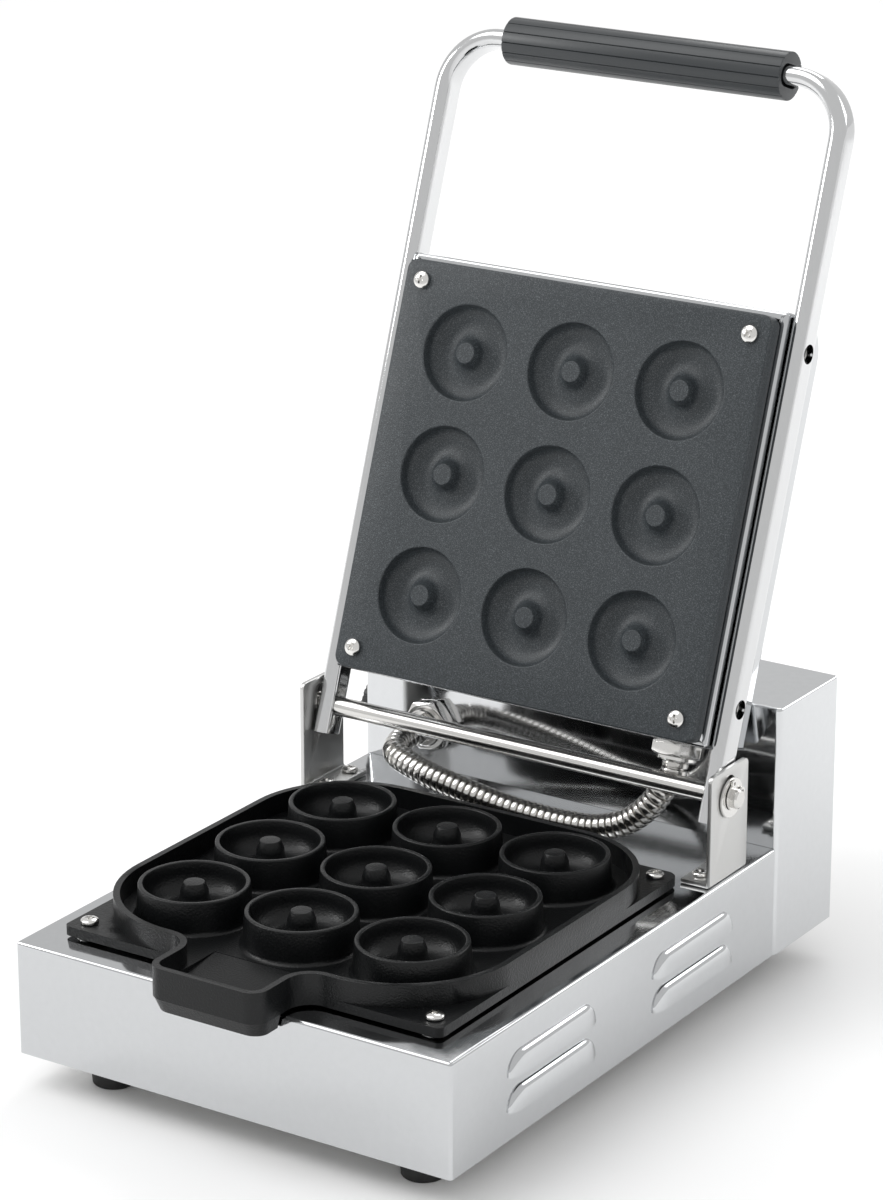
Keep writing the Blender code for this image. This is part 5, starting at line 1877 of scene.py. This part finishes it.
    def _lamp(self, tag: str, finish: str) -> None:
        """A domed lens in a bright bezel.

        Args:
            tag: power or heat.
            finish: the lens's finish.
        """
        low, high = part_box(f"{tag}_lamp")
        spot = (self.low.x, (low.y + high.y) / 2, (low.z + high.z) / 2)
        lens = [(0.0, 4.2 * MM)] + oval_arc((0.0, 1.2 * MM), (4.6 * MM, 3.0 * MM), 80, 0, 10)
        lens += [(4.6 * MM, 0.2 * MM), (4.0 * MM, 0.2 * MM), (4.0 * MM, -14 * MM), (0.0, -14 * MM)]
        body = Workshop.turned(f"{tag}_lens", lens, spot, Axis.X_MINUS, 48)
        self.hand_over(body, finish, "base", finish, [f"{tag}_lamp"])
        ring = [(4.7 * MM, 1.6 * MM), (5.3 * MM, 1.8 * MM), (6.2 * MM, 1.0 * MM), (6.2 * MM, 0.0),
                (4.7 * MM, 0.0), (4.7 * MM, 1.6 * MM)]
        bezel = Workshop.turned(f"{tag}_bezel", ring, spot, Axis.X_MINUS, 48)
        self.hand_over(bezel, "nickel", "base", "fastener")


# ------------------------------------------------------------------ screws
@dataclass
class Screws(SubAssembly):
    """All the screws that show."""

    turns: tuple[float, ...] = (0.35, 1.1, 0.8, 0.15)
    plate_seat: Point2 = (-20.5 * MM, 135 * MM)
    plate_half: float = 100.5 * MM
    arm_seat: float = 117.3 * MM
    rear_inset: Point2 = (8 * MM, 10 * MM)

    def build(self) -> None:
        """Places copies of two screw sizes on the tray, the plate, the brackets and the arms."""
        large = PanScrew()
        large.build()
        for index, turn in enumerate(self.turns):
            name = f"tray_screw_{index + 1}"
            low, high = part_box(name)
            seat = Vector(((low.x + high.x) / 2, (low.y + high.y) / 2, high.z - large.head_height))
            self._set(large, f"pan_{name}", Matrix.Translation(seat), turn, "base", name)
        self._on_plate(large)
        large.discard()
        small = PanScrew(4.3 * MM, 2.6 * MM, 1.8 * MM, 2.7 * MM)
        small.build()
        for tag in ("left", "right"):
            for index in (1, 2):
                name = f"bracket_screw_{tag}_{index}"
                low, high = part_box(name)
                seat = Vector(((low.x + high.x) / 2, (low.y + high.y) / 2, high.z - small.head_height))
                self._set(small, f"pan_{name}", Matrix.Translation(seat), 0.5 * index, "base", name)
        self._in_arms(small)
        self._on_rear(small)
        small.discard()

    def _set(self, screw: PanScrew, name: str, matrix: Matrix, turn: float, body: str,
             node: str | None) -> None:
        """Places one screw and hands it over.

        Args:
            screw: the screw's template.
            name: the copy's name.
            matrix: its seat, head along +Z.
            turn: the recess's turn in radians.
            body: the body it rides on.
            node: the frame's node that it stands for, if any.
        """
        piece = screw.place(name, matrix, turn)
        self.hand_over(piece, "nickel", body, "fastener", [node] if node else [], angle=30.0)

    def _on_plate(self, screw: PanScrew) -> None:
        """Four screws on the cooking plate's corners.

        Args:
            screw: the screw's template.
        """
        head = self.layout.head()
        face, middle = self.plate_seat
        for index, (x, v) in enumerate(corners(self.plate_half)):
            spot = Matrix.Translation(Vector((x, face, middle + v)))
            self._set(screw, f"pan_head_screw_{index + 1}", head @ spot @ Axis.Y_MINUS.matrix(),
                      self.turns[index] + 0.6, "head", f"head_screw_{index + 1}")

    def _in_arms(self, screw: PanScrew) -> None:
        """Bolts seen at the bottom of the arms' access holes.

        Args:
            screw: the screw's template.
        """
        head = self.layout.head()
        for side, tag in ((-1, "left"), (1, "right")):
            axis = Axis.X_PLUS if side > 0 else Axis.X_MINUS
            for index, v in enumerate(ARM_BOLTS):
                spot = Matrix.Translation(Vector((side * self.arm_seat, 0, v)))
                self._set(screw, f"pan_arm_bolt_{tag}_{index + 1}", head @ spot @ axis.matrix(), 0.4,
                          "head", f"arm_bolt_{tag}_{index + 1}")

    def _on_rear(self, screw: PanScrew) -> None:
        """Four screws that hold the rear panel.

        Args:
            screw: the screw's template.
        """
        low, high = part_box("rear_panel")
        in_x, in_z = self.rear_inset
        places = [(x, z) for z in (low.z + in_z, high.z - in_z) for x in (low.x + in_x, high.x - in_x)]
        for index, (x, z) in enumerate(places):
            spot = Matrix.Translation(Vector((x, high.y + 0.05 * MM, z)))
            self._set(screw, f"rear_screw_{index + 1}", spot @ Axis.Y_PLUS.matrix(), 0.3 * index, "base",
                      None)


# ------------------------------------------------------------------ studio
@dataclass
class Studio:
    """Camera, pale floor and soft lights."""

    eye: Point3 = (1.09668, -1.66771, 0.91709)
    aim: Point3 = (0.11373, -0.16445, 0.29739)
    lens: float = 168.9
    floor_tone: Point3 = (0.955, 0.955, 0.955)
    sky: float = 0.74
    sun_power: float = 0.95
    sun_spread: float = 45.0
    sun_way: Point3 = (0.75, 0.62, -1.5)

    def build(self) -> None:
        """Sets up the whole studio."""
        self._camera()
        self._floor()
        self._world()
        self._overhead()
        self._softbox("key_softbox", (-1.9, -1.1, 1.2), (0.0, 0.0, 0.2), 0.6, 13.0)
        self._softbox("fill_softbox", (1.3, 2.0, 1.2), (0.0, 0.0, 0.1), 1.0, 9.0)
        self._softbox("back_softbox", (-0.4, 1.5, 1.9), (0.0, 0.0, 0.1), 0.9, 8.0)

    def _camera(self) -> None:
        """Long-lens camera from the front right, above."""
        data = bpy.data.cameras.new("camera")
        data.sensor_fit = "HORIZONTAL"
        data.sensor_width = 36.0
        data.lens = self.lens
        data.clip_end = 50.0
        camera = bpy.data.objects.new("camera", data)
        bpy.context.scene.collection.objects.link(camera)
        camera.location = self.eye
        look = Vector(self.aim) - Vector(self.eye)
        camera.rotation_euler = look.to_track_quat("-Z", "Y").to_euler()
        bpy.context.scene.camera = camera

    def _floor(self) -> None:
        """Wide pale floor."""
        Workshop.clear()
        bpy.ops.mesh.primitive_plane_add(size=60.0, location=(0, 0, 0))
        floor = bpy.context.object
        floor.name = "studio_floor"
        bench = NodeBench("floor_paint")
        tone = bench.noise(0.8, 2.0)
        dim = tuple(c * 0.985 for c in self.floor_tone)
        bench.link(bench.ramp(tone, [(0.3, dim), (0.7, self.floor_tone)]), bench.shader.inputs["Base Color"])
        bench.shader.inputs["Roughness"].default_value = 0.9
        bench.shader.inputs["Specular IOR Level"].default_value = 0.1
        floor.data.materials.append(bench.material)

    def _world(self) -> None:
        """Even white surroundings."""
        world = bpy.data.worlds.new("studio")
        bpy.context.scene.world = world
        world.use_nodes = True
        sky = world.node_tree.nodes["Background"]
        sky.inputs["Color"].default_value = (1.0, 1.0, 1.0, 1.0)
        sky.inputs["Strength"].default_value = self.sky
        bpy.context.scene.view_settings.view_transform = "Standard"

    def _overhead(self) -> None:
        """Wide, very soft main light from the front left, high up."""
        data = bpy.data.lights.new("overhead", "SUN")
        data.energy = self.sun_power
        data.angle = math.radians(self.sun_spread)
        lamp = bpy.data.objects.new("overhead", data)
        bpy.context.scene.collection.objects.link(lamp)
        lamp.rotation_euler = Vector(self.sun_way).to_track_quat("-Z", "Y").to_euler()

    @staticmethod
    def _softbox(name: str, place: Point3, aim: Point3, size: float, power: float) -> None:
        """One square soft light.

        Args:
            name: the light's name.
            place: where it stands.
            aim: what it points at.
            size: its side in metres.
            power: its power in watts.
        """
        data = bpy.data.lights.new(name, "AREA")
        data.size = size
        data.energy = power
        lamp = bpy.data.objects.new(name, data)
        bpy.context.scene.collection.objects.link(lamp)
        lamp.location = place
        lamp.rotation_euler = (Vector(aim) - Vector(place)).to_track_quat("-Z", "Y").to_euler()


def main() -> None:
    """Builds every sub-assembly in order and logs its pieces."""
    logging.basicConfig(level=logging.INFO, format="%(name)s %(message)s")
    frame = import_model()
    layout = Layout.read(frame)
    finishes = Finishes()
    Studio().build()
    for maker in (Conduit, BaseCasing, ControlBox, LowerTray, HingeSet, Head, Screws):
        assembly = maker(layout, finishes)
        assembly.build()
        LOG.info("%s: %d pieces", maker.__name__, len(assembly.made))
    Workshop.clear()


if __name__ == "__main__":
    main()
